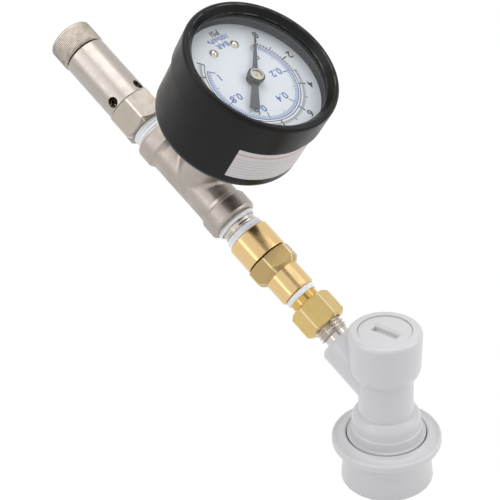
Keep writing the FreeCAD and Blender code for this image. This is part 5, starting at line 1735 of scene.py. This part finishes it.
@dataclass
class Studio:
    """Pale floor and background, soft lamps and the camera."""

    floor_z: float = -0.0006
    floor_size: float = 6.0
    floor_colour: Colour = (0.9, 0.9, 0.9)
    floor_glow: float = 1.06
    floor_share: float = 0.86
    sky: Colour = (0.95, 0.97, 1.0)
    ambient: float = 0.56
    azimuth: float = 43.12
    elevation: float = 29.25
    roll: float = -4.14
    distance: float = 0.4520
    right: float = -0.0484
    up: float = 0.0778
    lens: float = 92.05
    sensor: float = 36.0
    clip: Point = (0.01, 20.0)
    aim: tuple[float, float, float] = (-0.07, 0.0, 0.07)
    card_length: float = 1.1
    card_reach: float = 0.85
    card_tint: Colour = (1.0, 0.99, 0.97)
    cards: tuple[tuple[str, float, float, float], ...] = (
        ("card_bright", 42.0, 0.17, 2.4), ("card_shade", -26.0, 0.34, 0.42), ("card_edge", 88.0, 0.5, 0.55))

    def build(self) -> None:
        """Build the studio."""
        self.camera()
        self.floor()
        self.world()
        self.lamps()
        bpy.context.scene.view_settings.view_transform = "Standard"

    def axes(self) -> tuple[Vector, Vector, Vector]:
        """Work out how the camera stands.

        Returns:
            Its right, up and back directions.
        """
        turn, rise, lean = map(math.radians, (self.azimuth, self.elevation, self.roll))
        back = Vector((math.sin(turn) * math.cos(rise), -math.cos(turn) * math.cos(rise), math.sin(rise)))
        side = Vector((math.cos(turn), math.sin(turn), 0.0))
        top = back.cross(side)
        right = side * math.cos(lean) + top * math.sin(lean)
        return right, top * math.cos(lean) - side * math.sin(lean), back

    def camera(self) -> None:
        """Set up the camera."""
        side, top, back = self.axes()
        data = bpy.data.cameras.new("camera")
        data.lens = self.lens
        data.sensor_width = self.sensor
        data.clip_start, data.clip_end = self.clip
        camera = bpy.data.objects.new("camera", data)
        at = back * self.distance + side * self.right + top * self.up
        camera.matrix_world = Matrix.Translation(at) @ Matrix((side, top, back)).transposed().to_4x4()
        bpy.context.scene.collection.objects.link(camera)
        bpy.context.scene.camera = camera

    def floor(self) -> None:
        """Lay the floor, which reads white but keeps the part's shadow."""
        graph = Graph(bpy.data.materials.new("pale_floor"))
        matt = graph.node("ShaderNodeBsdfDiffuse", {"Color": self.floor_colour})
        glow = graph.glow("ShaderNodeEmission", WHITE, self.floor_glow)
        material = graph.close(graph.blend(graph.seen() * self.floor_share, matt, glow))
        stretch = Matrix.Diagonal((self.floor_size, self.floor_size, 1.0, 1.0))
        floor = flat_piece("floor", Matrix.Translation((0, 0, self.floor_z)) @ stretch, material)

    def world(self) -> None:
        """Light the part evenly from all round, in front of a white background."""
        graph = Graph(bpy.data.worlds.new("studio"))
        soft = graph.glow("ShaderNodeBackground", self.sky, self.ambient)
        white = graph.glow("ShaderNodeBackground", WHITE, 1.0)
        mixed = graph.blend(graph.seen(), soft, white)
        bpy.context.scene.world = graph.close(mixed, "ShaderNodeOutputWorld")

    def lamps(self) -> None:
        """Hang the lamps, and the light and dark cards that only shiny surfaces mirror."""
        side, top, back = self.axes()
        aim = Vector(self.aim)
        left = aim + back * 0.55 - side * 0.75 + top * 0.35
        right = aim + back * 0.35 + side * 0.85 + top * 0.45
        above = aim + Vector((0, 0, 0.9))
        Softbox("lamp_left", left, 0.5, 0.8, 1.5).build(aim)
        Softbox("lamp_right", right, 0.55, 0.8, 1.7, (1.0, 0.98, 0.95)).build(aim)
        Softbox("lamp_top", above, 0.8, 0.8, 1.6).build(aim)
        low_left = (-side * 0.75 - top * 0.66).normalized()
        for name, degrees, width, glow in self.cards:
            turn = math.radians(degrees)
            away = (back * math.cos(turn) + low_left * math.sin(turn)) * self.card_reach
            self.card(name, aim + away, aim, width, glow)

    def card(self, name: str, at: Vector, aim: Vector, width: float, glow: float) -> None:
        """Stand a card where only shiny surfaces see it, its long side along the chain of fittings.

        Args:
            name: Its name.
            at: Its middle.
            aim: The point that it faces.
            width: Its width.
            glow: Its brightness, where 1 is white.
        """
        away = (at - aim).normalized()
        short = chain_place().z.cross(away).normalized()
        turn = Matrix((short, away.cross(short), away)).transposed().to_4x4()
        place = Matrix.Translation(at) @ turn @ Matrix.Diagonal((width, self.card_length, 1.0, 1.0))
        graph = Graph(bpy.data.materials.new(name))
        card = flat_piece(name, place, graph.close(graph.glow("ShaderNodeEmission", self.card_tint, glow)))
        card.visible_camera = False
        card.visible_diffuse = False
        card.visible_shadow = False
        card.visible_transmission = False


def main() -> None:
    logging.basicConfig(level=logging.INFO, format="%(message)s")
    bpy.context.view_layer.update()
    chain = chain_place()
    gauge = gauge_place()
    wound = SealingTape("sealing_tape", srgb(249, 250, 252), roughness=0.42, specular=0.9, place=chain)
    tape = wound.material()
    Studio().build()
    Disconnect().build()
    Springs().build()
    Rubber().build()
    SwivelJoint(chain).build(tape)
    CheckValve(chain).build()
    TeeGroup(chain).build(tape, gauge)
    ReliefValve(chain).build()
    Gauge(gauge).build()


if __name__ == "__main__":
    main()
